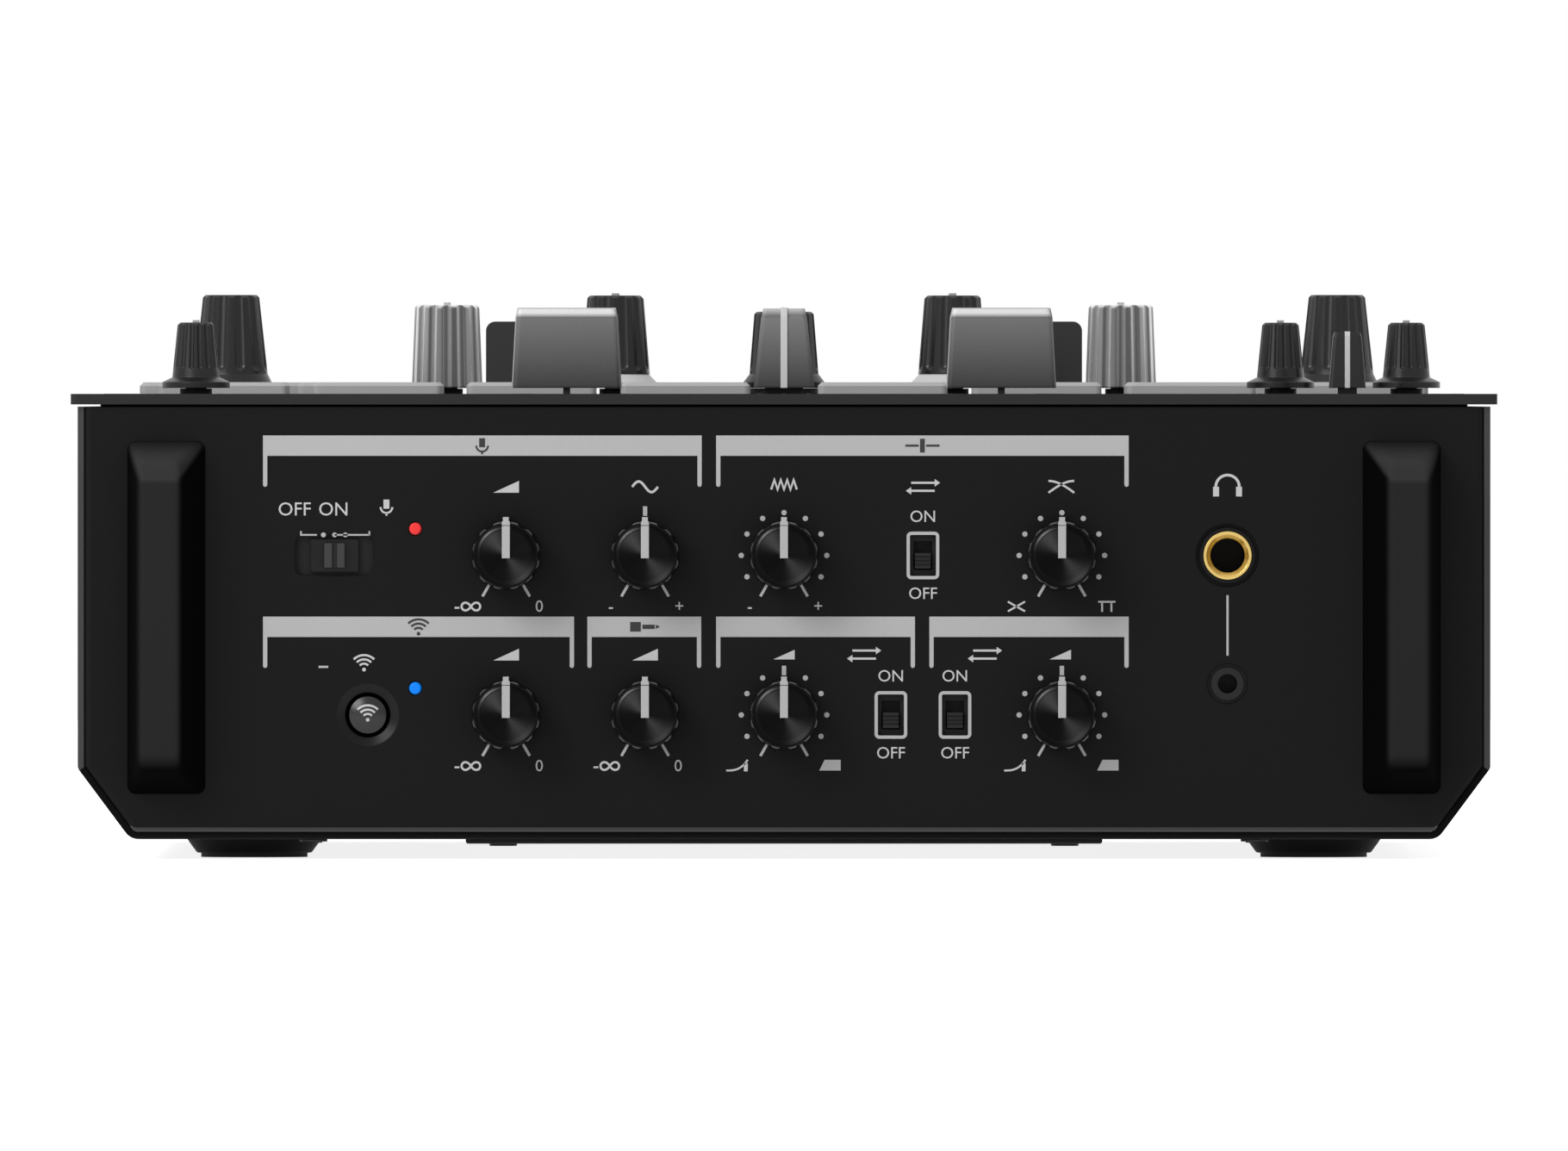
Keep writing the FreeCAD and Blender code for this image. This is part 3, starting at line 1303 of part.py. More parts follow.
def eq_knob():
    grip = tall_cap(EQ_BASE_RADIUS, EQ_TOP_RADIUS, FLARE_TOP, EQ_TOP)
    pointer = top_pointer(EQ_TOP_RADIUS, EQ_TOP)
    skirt = flared_skirt(EQ_SHOULDER_RADIUS)
    return on_shaft([grip.cut(pointer), pointer, skirt], PLATE_THICKNESS, EQ_TOP)


def effect_knob():
    grip = tall_cap(EFFECT_KNOB_BASE_RADIUS, EFFECT_KNOB_TOP_RADIUS, FLARE_TOP, EFFECT_KNOB_TOP)
    cap = grip.fuse(flared_skirt(EFFECT_KNOB_BASE_RADIUS)).removeSplitter()
    pointer = top_pointer(EFFECT_KNOB_TOP_RADIUS, EFFECT_KNOB_TOP)
    return on_shaft([cap.cut(pointer), pointer], PLATE_THICKNESS, EFFECT_KNOB_TOP)


def filter_knob():
    edge = KNOB_EDGE_RADIUS
    cap = turned(
        [
            (0, PLATE_KNOB_LIFT),
            (FILTER_BASE_RADIUS, PLATE_KNOB_LIFT),
            (FILTER_TOP_RADIUS, FILTER_TOP - edge),
            (FILTER_TOP_RADIUS - edge, FILTER_TOP),
            (0, FILTER_TOP),
        ]
    )
    cap = cap.cut(
        flutes(
            FILTER_FLUTES,
            0.5,
            FILTER_FLUTE_RADIUS,
            FILTER_FLUTE_DEPTH,
            (FILTER_BASE_RADIUS, PLATE_KNOB_LIFT - KNOB_GAP),
            (FILTER_TOP_RADIUS, FILTER_TOP),
        )
    )
    pointer = top_pointer(FILTER_TOP_RADIUS, FILTER_TOP)
    return on_shaft([cap.cut(pointer), pointer], PLATE_THICKNESS, FILTER_TOP)


# Faders. A cap's long side lies across its travel; this one travels along Y.
def fader_blade(length, cap_low):
    return block(
        (-FADER_BLADE_THICKNESS / 2, FADER_BLADE_THICKNESS / 2),
        (-length / 2, length / 2),
        (-PLATE_THICKNESS - FADER_BLADE_DEPTH, cap_low + FADER_BLADE_IN_CAP),
    )


def fader_cap(inset):
    """The cap drawn in by inset on its ends and its top, for the cap and for the line's bed."""
    corner = FADER_CAP_CORNER
    shoulder = FADER_CAP_TOP - FADER_CAP_BEVEL_HEIGHT
    length = FADER_CAP_LENGTH - 2 * inset
    top_length = FADER_CAP_TOP_LENGTH - 2 * inset
    return tapered_block(
        [
            (length, FADER_CAP_WIDTH, corner, FADER_LIFT),
            (top_length, FADER_CAP_TOP_WIDTH, corner, shoulder - inset),
            (
                top_length - FADER_CAP_BEVEL,
                FADER_CAP_TOP_WIDTH - FADER_CAP_BEVEL,
                corner,
                FADER_CAP_TOP - inset,
            ),
        ]
    )


def channel_fader():
    """The cap, the line let into its top and both ends, and the blade under it."""
    band = block(
        (-FADER_CAP_LENGTH, FADER_CAP_LENGTH),
        (-FADER_LINE_WIDTH / 2, FADER_LINE_WIDTH / 2),
        (0, FADER_CAP_TOP + FADER_CAP_LENGTH),
    )
    line = fader_cap(-FADER_LINE_PROUD).cut(fader_cap(FADER_LINE_DEPTH)).common(band)
    blade = fader_blade(FADER_BLADE_LENGTH, FADER_LIFT)
    return [fader_cap(0.0).cut([blade, line]), line, blade]


def crossfader():
    pieces = [piece.copy() for piece in channel_fader()]
    for piece in pieces:
        piece.rotate(Vector(0, 0, 0), Vector(0, 0, 1), 90)
    return pieces


def mix_cap(inset):
    """The small cap drawn in by inset on its ends and its top, for the cap and for the line's bed."""
    corner = FADER_CAP_CORNER
    top_length = MIX_CAP_TOP_LENGTH - 2 * inset
    return tapered_block(
        [
            (MIX_CAP_WIDTH, MIX_CAP_LENGTH - 2 * inset, corner, FADER_LIFT),
            (MIX_CAP_TOP_WIDTH, top_length, corner, MIX_CAP_TOP - MIX_CAP_BEVEL_HEIGHT - inset),
            (MIX_CAP_TOP_WIDTH - MIX_CAP_BEVEL, top_length - MIX_CAP_BEVEL, corner, MIX_CAP_TOP - inset),
        ]
    )


def phones_mix_slider():
    """The cap, the line let into its top and its front and back, and the blade under it."""
    band = block(
        (-MIX_LINE_WIDTH / 2, MIX_LINE_WIDTH / 2),
        (-MIX_CAP_LENGTH, MIX_CAP_LENGTH),
        (0, MIX_CAP_TOP + MIX_CAP_LENGTH),
    )
    line = mix_cap(-FADER_LINE_PROUD).cut(mix_cap(FADER_LINE_DEPTH)).common(band)
    blade = fader_blade(MIX_BLADE_LENGTH, FADER_LIFT - FADER_BLADE_IN_CAP / 2)
    blade.rotate(Vector(0, 0, 0), Vector(0, 0, 1), 90)
    return [mix_cap(0.0).cut([blade, line]), line, blade]


def fader_track(travel, blade_length):
    """A closed housing under the plate with a slot for the blade, running along Y."""
    run = travel + blade_length + 2 * FADER_SLOT_CLEARANCE
    low = -PLATE_THICKNESS - TRACK_DEPTH
    housing = centred_block(TRACK_WIDTH, run + 2 * TRACK_END, low, -PLATE_THICKNESS)
    slot = FADER_BLADE_THICKNESS + 2 * FADER_SLOT_CLEARANCE
    floor = -PLATE_THICKNESS - FADER_BLADE_DEPTH - FADER_SLOT_CLEARANCE
    return housing.cut(centred_block(slot, run, floor, PLATE_THICKNESS))


def fader_tracks():
    long_track = fader_track(FADER_TRAVEL, FADER_BLADE_LENGTH)
    short_track = fader_track(MIX_TRAVEL, MIX_BLADE_LENGTH)
    pieces = [on_plate(long_track, place) for place in CHANNEL_SLOTS.values()]
    for track, place in ((long_track, CROSSFADER_PLACE), (short_track, MIX_PLACE)):
        across = track.copy()
        across.rotate(Vector(0, 0, 0), Vector(0, 0, 1), 90)
        pieces.append(on_plate(across, place))
    return pieces


# Effect paddles.
def effect_paddle():
    pivot = PADDLE_PIVOT_Z - PLATE_TOP
    half = PADDLE_WIDTH / 2
    blade = block(
        (-half, half), (-PADDLE_THICKNESS / 2, PADDLE_THICKNESS / 2), (pivot, PADDLE_TOP)
    )
    blade = softened(
        blade,
        PADDLE_CORNER_RADIUS,
        lambda edge: edge.BoundBox.XLength < SKIM_CLEARANCE and lies_at_height(PADDLE_TOP)(edge),
    )
    hub = rod(PADDLE_HUB_RADIUS, (-half, 0, pivot), (half, 0, pivot))
    reach = half + PADDLE_SIDE_GAP + PADDLE_PIN_LENGTH
    pins = [rod(PADDLE_PIN_RADIUS, (side * half, 0, pivot), (side * reach, 0, pivot)) for side in (-1, 1)]
    return blade.fuse([hub] + pins).removeSplitter()


# Front switches and the pairing button.
def switch_housing(width, height, slot_width, slot_height):
    """A box behind the panel with a slot that the slider's stem runs in."""
    face = -PANEL_SHEET
    box = centred_block(width, height, face - POT_DEPTH, face)
    return box.cut(centred_block(slot_width, slot_height, face - SWITCH_STEM_DEPTH - SLIDE_CLEARANCE, 0))


def mic_switch():
    low = SKIM_CLEARANCE - PANEL_SHEET
    face = low + MIC_BLOCK_THICKNESS
    slider = rounded_block(MIC_BLOCK_WIDTH, MIC_BLOCK_HEIGHT, MIC_BLOCK_THICKNESS / 2, low, face)
    lever = centred_block(MIC_LEVER_WIDTH, MIC_LEVER_HEIGHT, low, MIC_LEVER_PROUD)
    groove = centred_block(
        MIC_LEVER_GROOVE, MIC_LEVER_HEIGHT, MIC_LEVER_PROUD - MIC_GROOVE_DEPTH, MIC_LEVER_PROUD
    )
    stem = centred_block(MIC_LEVER_WIDTH / 2, MIC_LEVER_HEIGHT / 2, -PANEL_SHEET - SWITCH_STEM_DEPTH, face)
    return slider.fuse([lever.cut(groove), stem]).removeSplitter()


def reverse_switch():
    """The ridged cap at its lower place; the window's middle is at y = 0."""
    y = -REVERSE_TRAVEL / 2
    top = -REVERSE_CAP_SUNK
    cap = centred_block(
        REVERSE_CAP_WIDTH, REVERSE_CAP_HEIGHT, -PANEL_SHEET - SWITCH_STEM_DEPTH, top
    )
    pitch = REVERSE_CAP_HEIGHT / REVERSE_RIDGES
    valleys = []
    for index in range(REVERSE_RIDGES - 1):
        middle = (index + 1) * pitch - REVERSE_CAP_HEIGHT / 2
        valleys.append(
            block(
                (-REVERSE_CAP_WIDTH, REVERSE_CAP_WIDTH),
                (middle - pitch / 4, middle + pitch / 4),
                (top - REVERSE_RIDGE_DEPTH, top + PANEL_SHEET),
            )
        )
    cap = cap.cut(valleys)
    cap.translate(Vector(0, y, 0))
    return cap


def button_guide_top():
    """How far under the panel the guide ends, below the collar's lowest place."""
    return SKIM_CLEARANCE + BUTTON_COLLAR_THICKNESS + BUTTON_TRAVEL + SLIDE_CLEARANCE


def pairing_button():
    face = -PANEL_SHEET
    low = face - POT_DEPTH + POT_FLOOR + BUTTON_TRAVEL + SLIDE_CLEARANCE
    stem_radius = BUTTON_RADIUS - BUTTON_GUIDE_CLEARANCE
    collar_top = face - SKIM_CLEARANCE
    collar_low = collar_top - BUTTON_COLLAR_THICKNESS
    rim_z = -BUTTON_DISH_DEPTH / 2
    dome_radius = (BUTTON_RADIUS**2 + BUTTON_DOME**2) / (2 * BUTTON_DOME)
    dome = Part.makeSphere(dome_radius, Vector(0, 0, rim_z + BUTTON_DOME - dome_radius))
    dome = dome.common(upright_rod(BUTTON_RADIUS, rim_z - BUTTON_DOME, rim_z + 2 * BUTTON_DOME))
    dome = dome.cut(upright_rod(2 * BUTTON_RADIUS, rim_z - 2 * BUTTON_DOME, rim_z))
    body = upright_rod(BUTTON_RADIUS, collar_low, rim_z)
    collar = upright_rod(BUTTON_COLLAR_RADIUS, collar_low, collar_top)
    stem = upright_rod(stem_radius, low, collar_low)
    return body.fuse([dome, collar, stem]).removeSplitter()


def switch_bodies():
    wall = 2 * SWITCH_WALL
    mic = switch_housing(
        MIC_WINDOW_WIDTH + wall,
        MIC_WINDOW_HEIGHT + wall,
        MIC_LEVER_WIDTH / 2 + 2 * MIC_TRAVEL + 2 * SLIDE_CLEARANCE,
        MIC_LEVER_HEIGHT / 2 + 2 * SLIDE_CLEARANCE,
    )
    reverse = switch_housing(
        REVERSE_WINDOW_WIDTH + wall,
        REVERSE_WINDOW_HEIGHT + wall,
        REVERSE_CAP_WIDTH + 2 * SLIDE_CLEARANCE,
        REVERSE_CAP_HEIGHT + REVERSE_TRAVEL + 2 * SLIDE_CLEARANCE,
    )
    back = -PANEL_SHEET - POT_DEPTH
    guide = upright_rod(BUTTON_RADIUS + SWITCH_WALL, back, -PANEL_SHEET - button_guide_top())
    guide = guide.cut(upright_rod(BUTTON_RADIUS, back + POT_FLOOR, 0))
    pieces = [on_front(mic, MIC_SWITCH_PLACE), on_front(guide, BUTTON_PLACE)]
    return pieces + [on_front(reverse, place) for place in REVERSE_SWITCHES.values()]


def status_led(place):
    back = -PANEL_SHEET - POT_DEPTH
    lens = upright_rod(LED_RADIUS, back, LED_PROUD)
    return on_front(softened(lens, LED_PROUD, lies_at_height(LED_PROUD)), place)


# Headphone sockets.
def phones_jacks():
    back = -PANEL_SHEET - BIG_JACK_BODY_DEPTH
    big = centred_block(BIG_JACK_BODY, BIG_JACK_BODY, back, -PANEL_SHEET)
    big = big.fuse(upright_rod(BIG_JACK_NOSE_RADIUS, -PANEL_SHEET, BIG_JACK_NOSE_PROUD))
    big = big.cut(
        [
            upright_rod(BIG_JACK_RING_RADIUS, -BIG_JACK_RING_DEPTH, BIG_JACK_RING_PROUD),
            upright_rod(BIG_JACK_BORE_RADIUS, back + JACK_FLOOR, 0),
        ]
    )
    back = -PANEL_SHEET - SMALL_JACK_BODY_DEPTH
    small = centred_block(SMALL_JACK_BODY, SMALL_JACK_BODY, back, -PANEL_SHEET)
    small = small.fuse(upright_rod(SMALL_JACK_NOSE_RADIUS, -PANEL_SHEET, BIG_JACK_NOSE_PROUD))
    small = small.cut(
        upright_rod(SMALL_JACK_BORE_RADIUS, back + JACK_FLOOR, 2 * BIG_JACK_NOSE_PROUD)
    )
    return [
        on_front(big.removeSplitter(), BIG_JACK_PLACE),
        on_front(small.removeSplitter(), SMALL_JACK_PLACE),
    ]


def phones_jack_ring():
    ring = turned(
        [
            (0, -BIG_JACK_RING_DEPTH),
            (BIG_JACK_RING_RADIUS, -BIG_JACK_RING_DEPTH),
            (BIG_JACK_RING_RADIUS, BIG_JACK_RING_PROUD),
            (BIG_JACK_BORE_RADIUS + BIG_JACK_LEAD_IN, BIG_JACK_RING_PROUD),
            (0, BIG_JACK_RING_PROUD - BIG_JACK_BORE_RADIUS - BIG_JACK_LEAD_IN),
        ]
    )
    bore = upright_rod(BIG_JACK_BORE_RADIUS, -2 * BIG_JACK_RING_DEPTH, 2 * BIG_JACK_RING_DEPTH)
    return on_front(ring.cut(bore), BIG_JACK_PLACE)


# Rear sockets.
def phono_sockets():
    socket = upright_rod(PHONO_SHELL_RADIUS, -PANEL_SHEET, SOCKET_PROUD)
    socket = socket.fuse(
        [
            upright_rod(PHONO_FLANGE_RADIUS, 0, PHONO_FLANGE_THICKNESS),
            centred_block(PHONO_BODY, PHONO_BODY, -PANEL_SHEET - PHONO_BODY_DEPTH, -PANEL_SHEET),
        ]
    )
    socket = socket.cut(upright_rod(PHONO_BORE_RADIUS, -PANEL_SHEET, 2 * SOCKET_PROUD))
    post = turned(
        [
            (0, -PANEL_SHEET - PHONO_BODY_DEPTH / 2),
            (GROUND_POST_RADIUS, -PANEL_SHEET - PHONO_BODY_DEPTH / 2),
            (GROUND_POST_RADIUS, -PANEL_SHEET),
            (GROUND_POST_NECK_RADIUS, -PANEL_SHEET),
            (GROUND_POST_NECK_RADIUS, GROUND_POST_NECK),
            (GROUND_POST_RADIUS, GROUND_POST_NECK),
            (GROUND_POST_RADIUS, GROUND_POST_NECK + GROUND_POST_HEAD),
            (0, GROUND_POST_NECK + GROUND_POST_HEAD),
        ]
    )
    pieces = [on_rear(socket.removeSplitter(), place) for place in PHONO_PLACES]
    return pieces + [on_rear(post, place) for place in GROUND_POST_PLACES]


def output_jacks():
    face = OUTPUT_FLANGE_THICKNESS
    back = face - OUTPUT_BORE_DEPTH - JACK_FLOOR
    balanced = rounded_block(
        OUTPUT_FLANGE_WIDTH, OUTPUT_FLANGE_HEIGHT, OUTPUT_FLANGE_RADIUS, 0, face
    )
    balanced = balanced.fuse(upright_rod(OUTPUT_BODY_RADIUS, back, face))
    balanced = balanced.cut(upright_rod(OUTPUT_BORE_RADIUS, face - OUTPUT_BORE_DEPTH, 2 * face))
    back = -PANEL_SHEET - BIG_JACK_BODY_DEPTH
    booth = centred_block(BIG_JACK_BODY, BIG_JACK_BODY, back, -PANEL_SHEET)
    booth = booth.fuse(
        [
            upright_rod(BOOTH_BUSH_RADIUS, -PANEL_SHEET, BOOTH_BUSH_PROUD),
            upright_rod(BOOTH_NUT_RADIUS, 0, BOOTH_NUT_THICKNESS),
        ]
    )
    booth = booth.cut(upright_rod(BIG_JACK_BORE_RADIUS, back + JACK_FLOOR, 2 * BOOTH_BUSH_PROUD))
    pieces = [on_rear(balanced.removeSplitter(), place) for place in OUTPUT_PLACES]
    return pieces + [on_rear(booth.removeSplitter(), place) for place in BOOTH_PLACES]


def usb_sockets():
    back = USB_PROUD - USB_DEPTH - JACK_FLOOR
    shell = centred_block(USB_WIDTH, USB_HEIGHT, back, USB_PROUD)
    shell = shell.cut(
        centred_block(USB_OPENING_WIDTH, USB_OPENING_HEIGHT, USB_PROUD - USB_DEPTH, 2 * USB_PROUD)
    )
    lip = 2 * JACK_FLOOR
    backing = centred_block(
        USB_WIDTH + lip, USB_HEIGHT + lip, -PANEL_SHEET - JACK_FLOOR, -PANEL_SHEET
    ).cut(centred_block(USB_WIDTH, USB_HEIGHT, -PANEL_SHEET - JACK_FLOOR, -PANEL_SHEET))
    shell = shell.fuse(backing).removeSplitter()
    return [on_rear(shell, place) for place in USB_PLACES]


def mains_inlet():
    """The inlet's shell with its flange, and the frame that the power switch rocks in."""
    face = INLET_FLANGE_THICKNESS
    back = face - INLET_DEPTH - INLET_WALL
    inlet = rounded_block(INLET_FLANGE_WIDTH, INLET_FLANGE_HEIGHT, INLET_FLANGE_RADIUS, 0, face)
    inlet = inlet.fuse(centred_block(INLET_BODY_WIDTH, INLET_BODY_HEIGHT, back, face))
    inlet = inlet.cut(
        centred_block(INLET_OPENING_WIDTH, INLET_OPENING_HEIGHT, face - INLET_DEPTH, 2 * face)
    )
    wall = POWER_FRAME_WALL
    rim = rounded_block(POWER_FRAME_WIDTH, POWER_FRAME_HEIGHT, wall, 0, POWER_FRAME_THICKNESS)
    well = centred_block(
        POWER_FRAME_WIDTH - wall, POWER_FRAME_HEIGHT - wall, -POWER_FRAME_DEPTH, POWER_FRAME_THICKNESS
    )
    frame = rim.fuse(well)
    frame = frame.cut(
        centred_block(
            POWER_FRAME_WIDTH - 2 * wall - wall,
            POWER_FRAME_HEIGHT - 2 * wall - wall,
            wall - POWER_FRAME_DEPTH,
            2 * POWER_FRAME_THICKNESS,
        )
    )
    reach = power_half_width() + POWER_SIDE_GAP + POWER_PIN_LENGTH + POWER_SIDE_GAP / 2
    bore = rod(
        POWER_PIN_RADIUS + SHAFT_CLEARANCE,
        (-reach, 0, -POWER_PIVOT_DEPTH),
        (reach, 0, -POWER_PIVOT_DEPTH),
    )
    frame = frame.cut(bore).removeSplitter()
    return [on_rear(inlet.removeSplitter(), INLET_PLACE), on_rear(frame, POWER_PLACE)]


def power_half_width():
    return (POWER_FRAME_WIDTH - 3 * POWER_FRAME_WALL) / 2 - POWER_SIDE_GAP


def power_switch():
    """A rocker on two pins, at rest with its lower half pressed in."""
    half_width = power_half_width()
    half_height = (POWER_FRAME_HEIGHT - 3 * POWER_FRAME_WALL) / 2 - 2 * POWER_SIDE_GAP
    top = POWER_FRAME_THICKNESS + POWER_PROUD
    outline = [
        (-half_height, -POWER_PIVOT_DEPTH),
        (-half_height, top),
        (0, POWER_FRAME_THICKNESS),
        (half_height, top),
        (half_height, -POWER_PIVOT_DEPTH),
        (0, -2 * POWER_PIVOT_DEPTH),
    ]
    corners = [Vector(-half_width, y, z) for y, z in outline]
    rocker = Part.Face(Part.makePolygon(corners + corners[:1])).extrude(Vector(2 * half_width, 0, 0))
    reach = half_width + POWER_SIDE_GAP + POWER_PIN_LENGTH
    pin = rod(POWER_PIN_RADIUS, (-reach, 0, -POWER_PIVOT_DEPTH), (reach, 0, -POWER_PIVOT_DEPTH))
    rocker = rocker.fuse(pin).removeSplitter()
    rocker.rotate(Vector(0, 0, -POWER_PIVOT_DEPTH), Vector(1, 0, 0), POWER_TILT)
    return on_rear(rocker, POWER_PLACE)


# Boards inside the case.
def lying_board(x, y, width, depth):
    return block(
        (x - width / 2, x + width / 2), (y - depth / 2, y + depth / 2), (BOARD_BOTTOM, BOARD_TOP)
    )


def main_board():
    board = drilled(lying_board(MAIN_BOARD_X, MAIN_BOARD_Y, MAIN_BOARD_WIDTH, MAIN_BOARD_DEPTH))
    chips = [
        block(
            (MAIN_BOARD_X + offset - CHIP_SIZE / 2, MAIN_BOARD_X + offset + CHIP_SIZE / 2),
            (MAIN_BOARD_Y - CHIP_SIZE / 2, MAIN_BOARD_Y + CHIP_SIZE / 2),
            (BOARD_TOP, BOARD_TOP + CHIP_HEIGHT),
        )
        for offset in (-CHIP_SIZE, CHIP_SIZE)
    ]
    return [board] + chips


def power_supply():
    board = drilled(lying_board(SUPPLY_X, SUPPLY_Y, SUPPLY_WIDTH, SUPPLY_DEPTH))
    transformer = block(
        (SUPPLY_X - TRANSFORMER_WIDTH / 2, SUPPLY_X + TRANSFORMER_WIDTH / 2),
        (SUPPLY_Y, SUPPLY_Y + TRANSFORMER_DEPTH),
        (BOARD_TOP, BOARD_TOP + TRANSFORMER_HEIGHT),
    )
    capacitors = []
    for side in (-1, 1):
        x = SUPPLY_X + side * CAPACITOR_SPACING / 2
        y = SUPPLY_Y - 2 * CAPACITOR_RADIUS
        capacitors.append(rod(CAPACITOR_RADIUS, (x, y, BOARD_TOP), (x, y, BOARD_TOP + CAPACITOR_HEIGHT)))
    return [board, transformer] + capacitors


def front_board():
    z = CASE_BOTTOM + FRONT_BOARD_UP
    return block(
        (FRONT_BOARD_X - FRONT_BOARD_WIDTH / 2, FRONT_BOARD_X + FRONT_BOARD_WIDTH / 2),
        (FRONT_BOARD_Y, FRONT_BOARD_Y + BOARD_THICKNESS),
        (z - FRONT_BOARD_HEIGHT / 2, z + FRONT_BOARD_HEIGHT / 2),
    )


def control_board():
    """The board under the top plate, cut away round the fader tracks and the paddles."""
    front = FRONT_Y + CONTROL_BOARD_FROM_FRONT
    z_span = (CONTROL_BOARD_TOP - BOARD_THICKNESS, CONTROL_BOARD_TOP)
    board = block(
        (-CONTROL_BOARD_WIDTH / 2, CONTROL_BOARD_WIDTH / 2), (front, front + CONTROL_BOARD_DEPTH), z_span
    )
    gap = BOARD_CUT_CLEARANCE
    cuts = []
    for track in fader_tracks():
        box = track.BoundBox
        cuts.append(block((box.XMin - gap, box.XMax + gap), (box.YMin - gap, box.YMax + gap), z_span))
    reach = PADDLE_WIDTH / 2 + PADDLE_SIDE_GAP + PADDLE_PIN_LENGTH + gap
    depth = max(PADDLE_TAB_WIDTH, paddle_slot_depth()) / 2 + gap
    for x, y in PADDLES.values():
        cuts.append(block((x - reach, x + reach), (y - depth, y + depth), z_span))
    return board.cut(cuts)


# Every node of the object, by name.
def nodes():
    fixed = {
        "body_shell": [body_shell()],
        "front_panel": [front_panel()],
        "rear_panel": [rear_panel()],
        "top_plate": [top_plate()],
        "front_bumpers": front_bumpers(),
        "bottom_cover": [bottom_cover()],
        "feet": feet(),
        "foot_pads": foot_pads(),
        "case_screws": SCREWS,
        "main_board": main_board(),
        "power_supply": power_supply(),
        "front_board": [front_board()],
        "control_board": [control_board()],
        "pot_bodies": pot_bodies(),
        "fader_tracks": fader_tracks(),
        "switch_bodies": switch_bodies(),
        "phones_jacks": phones_jacks(),
        "phones_jack_ring": [phones_jack_ring()],
        "red_led": [status_led(RED_LED_PLACE)],
        "blue_led": [status_led(BLUE_LED_PLACE)],
        "pad_mats": pad_mats(),
        "level_meter": [level_meter()],
        "phono_sockets": phono_sockets(),
        "output_jacks": output_jacks(),
        "usb_sockets": usb_sockets(),
        "mains_inlet": mains_inlet(),
    }
    moving = {
        "mic_switch": [on_front(mic_switch(), MIC_SWITCH_PLACE)],
        "pairing_button": [on_front(pairing_button(), BUTTON_PLACE)],
        "crossfader": [on_plate(piece, CROSSFADER_PLACE) for piece in crossfader()],
        "phones_mix_slider": [on_plate(piece, MIX_PLACE) for piece in phones_mix_slider()],
        "power_switch": [power_switch()],
    }
    repeated = (
        (FRONT_KNOBS, front_knob(), on_front),
        (REVERSE_SWITCHES, [reverse_switch()], on_front),
        (SMALL_KNOBS, small_knob(), on_plate),
        (ENCODERS, encoder_knob(), on_plate),
        (EQ_KNOBS, eq_knob(), on_plate),
        (FILTER_KNOBS, filter_knob(), on_plate),
        (EFFECT_KNOB, effect_knob(), on_plate),
        (CHANNEL_FADERS, channel_fader(), on_plate),
        (PADDLES, [effect_paddle()], on_plate),
    )
    for places, pieces, put in repeated:
        for name, place in places.items():
            moving[name] = [put(piece, place) for piece in pieces]
    return fixed | moving


os.makedirs("parts", exist_ok=True)
for node_name, solids in nodes().items():
    Part.makeCompound(solids).exportStep(f"parts/{node_name}.step")
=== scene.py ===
import json
import math

import bmesh
import bpy
from mathutils import Matrix, Vector


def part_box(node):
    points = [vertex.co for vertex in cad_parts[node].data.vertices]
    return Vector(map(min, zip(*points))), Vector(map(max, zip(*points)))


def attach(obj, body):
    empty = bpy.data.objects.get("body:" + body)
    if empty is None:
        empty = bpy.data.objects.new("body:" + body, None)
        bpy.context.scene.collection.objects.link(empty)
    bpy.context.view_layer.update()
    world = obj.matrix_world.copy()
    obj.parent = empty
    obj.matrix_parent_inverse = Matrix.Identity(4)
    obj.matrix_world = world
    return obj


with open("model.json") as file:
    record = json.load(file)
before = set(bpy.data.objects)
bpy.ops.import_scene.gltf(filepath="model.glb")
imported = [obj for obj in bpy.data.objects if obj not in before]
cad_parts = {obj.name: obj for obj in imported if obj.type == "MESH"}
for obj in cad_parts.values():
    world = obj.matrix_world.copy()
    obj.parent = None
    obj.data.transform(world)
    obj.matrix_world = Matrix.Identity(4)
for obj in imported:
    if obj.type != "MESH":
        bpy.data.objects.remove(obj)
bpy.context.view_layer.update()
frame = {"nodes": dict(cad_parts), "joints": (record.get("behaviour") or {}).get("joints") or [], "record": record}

# The case: a folded steel shell with a sheet panel at each end and a service plate underneath.
# All of it is powder coated in a fine matt black, which shows as a faint even grain. The shell's
# front edge and the service plate are painted lighter, as painted highlights.
MM = 0.001


def grey(level):
    return (level, level, level)


def plug(node, values):
    """Links or sets a node's inputs, given by name or number, from sockets or plain values."""
    for key, value in values.items():
        socket = node.inputs[key]
        if isinstance(value, bpy.types.NodeSocket):
            node.id_data.links.new(value, socket)
        else:
            socket.default_value = (*value, 1) if socket.type == "RGBA" else value
    return node


def new_node(tree, kind, values=(), **named):
    return plug(tree.nodes.new(kind), {**dict(values), **named})


def math_step(tree, operation, *terms):
    """The result of a Math node on terms that are sockets or numbers."""
    step = tree.nodes.new("ShaderNodeMath")
    step.operation = operation
    return plug(step, dict(enumerate(terms))).outputs[0]


def node_of(material, kind):
    return next(node for node in material.node_tree.nodes if node.type == kind)


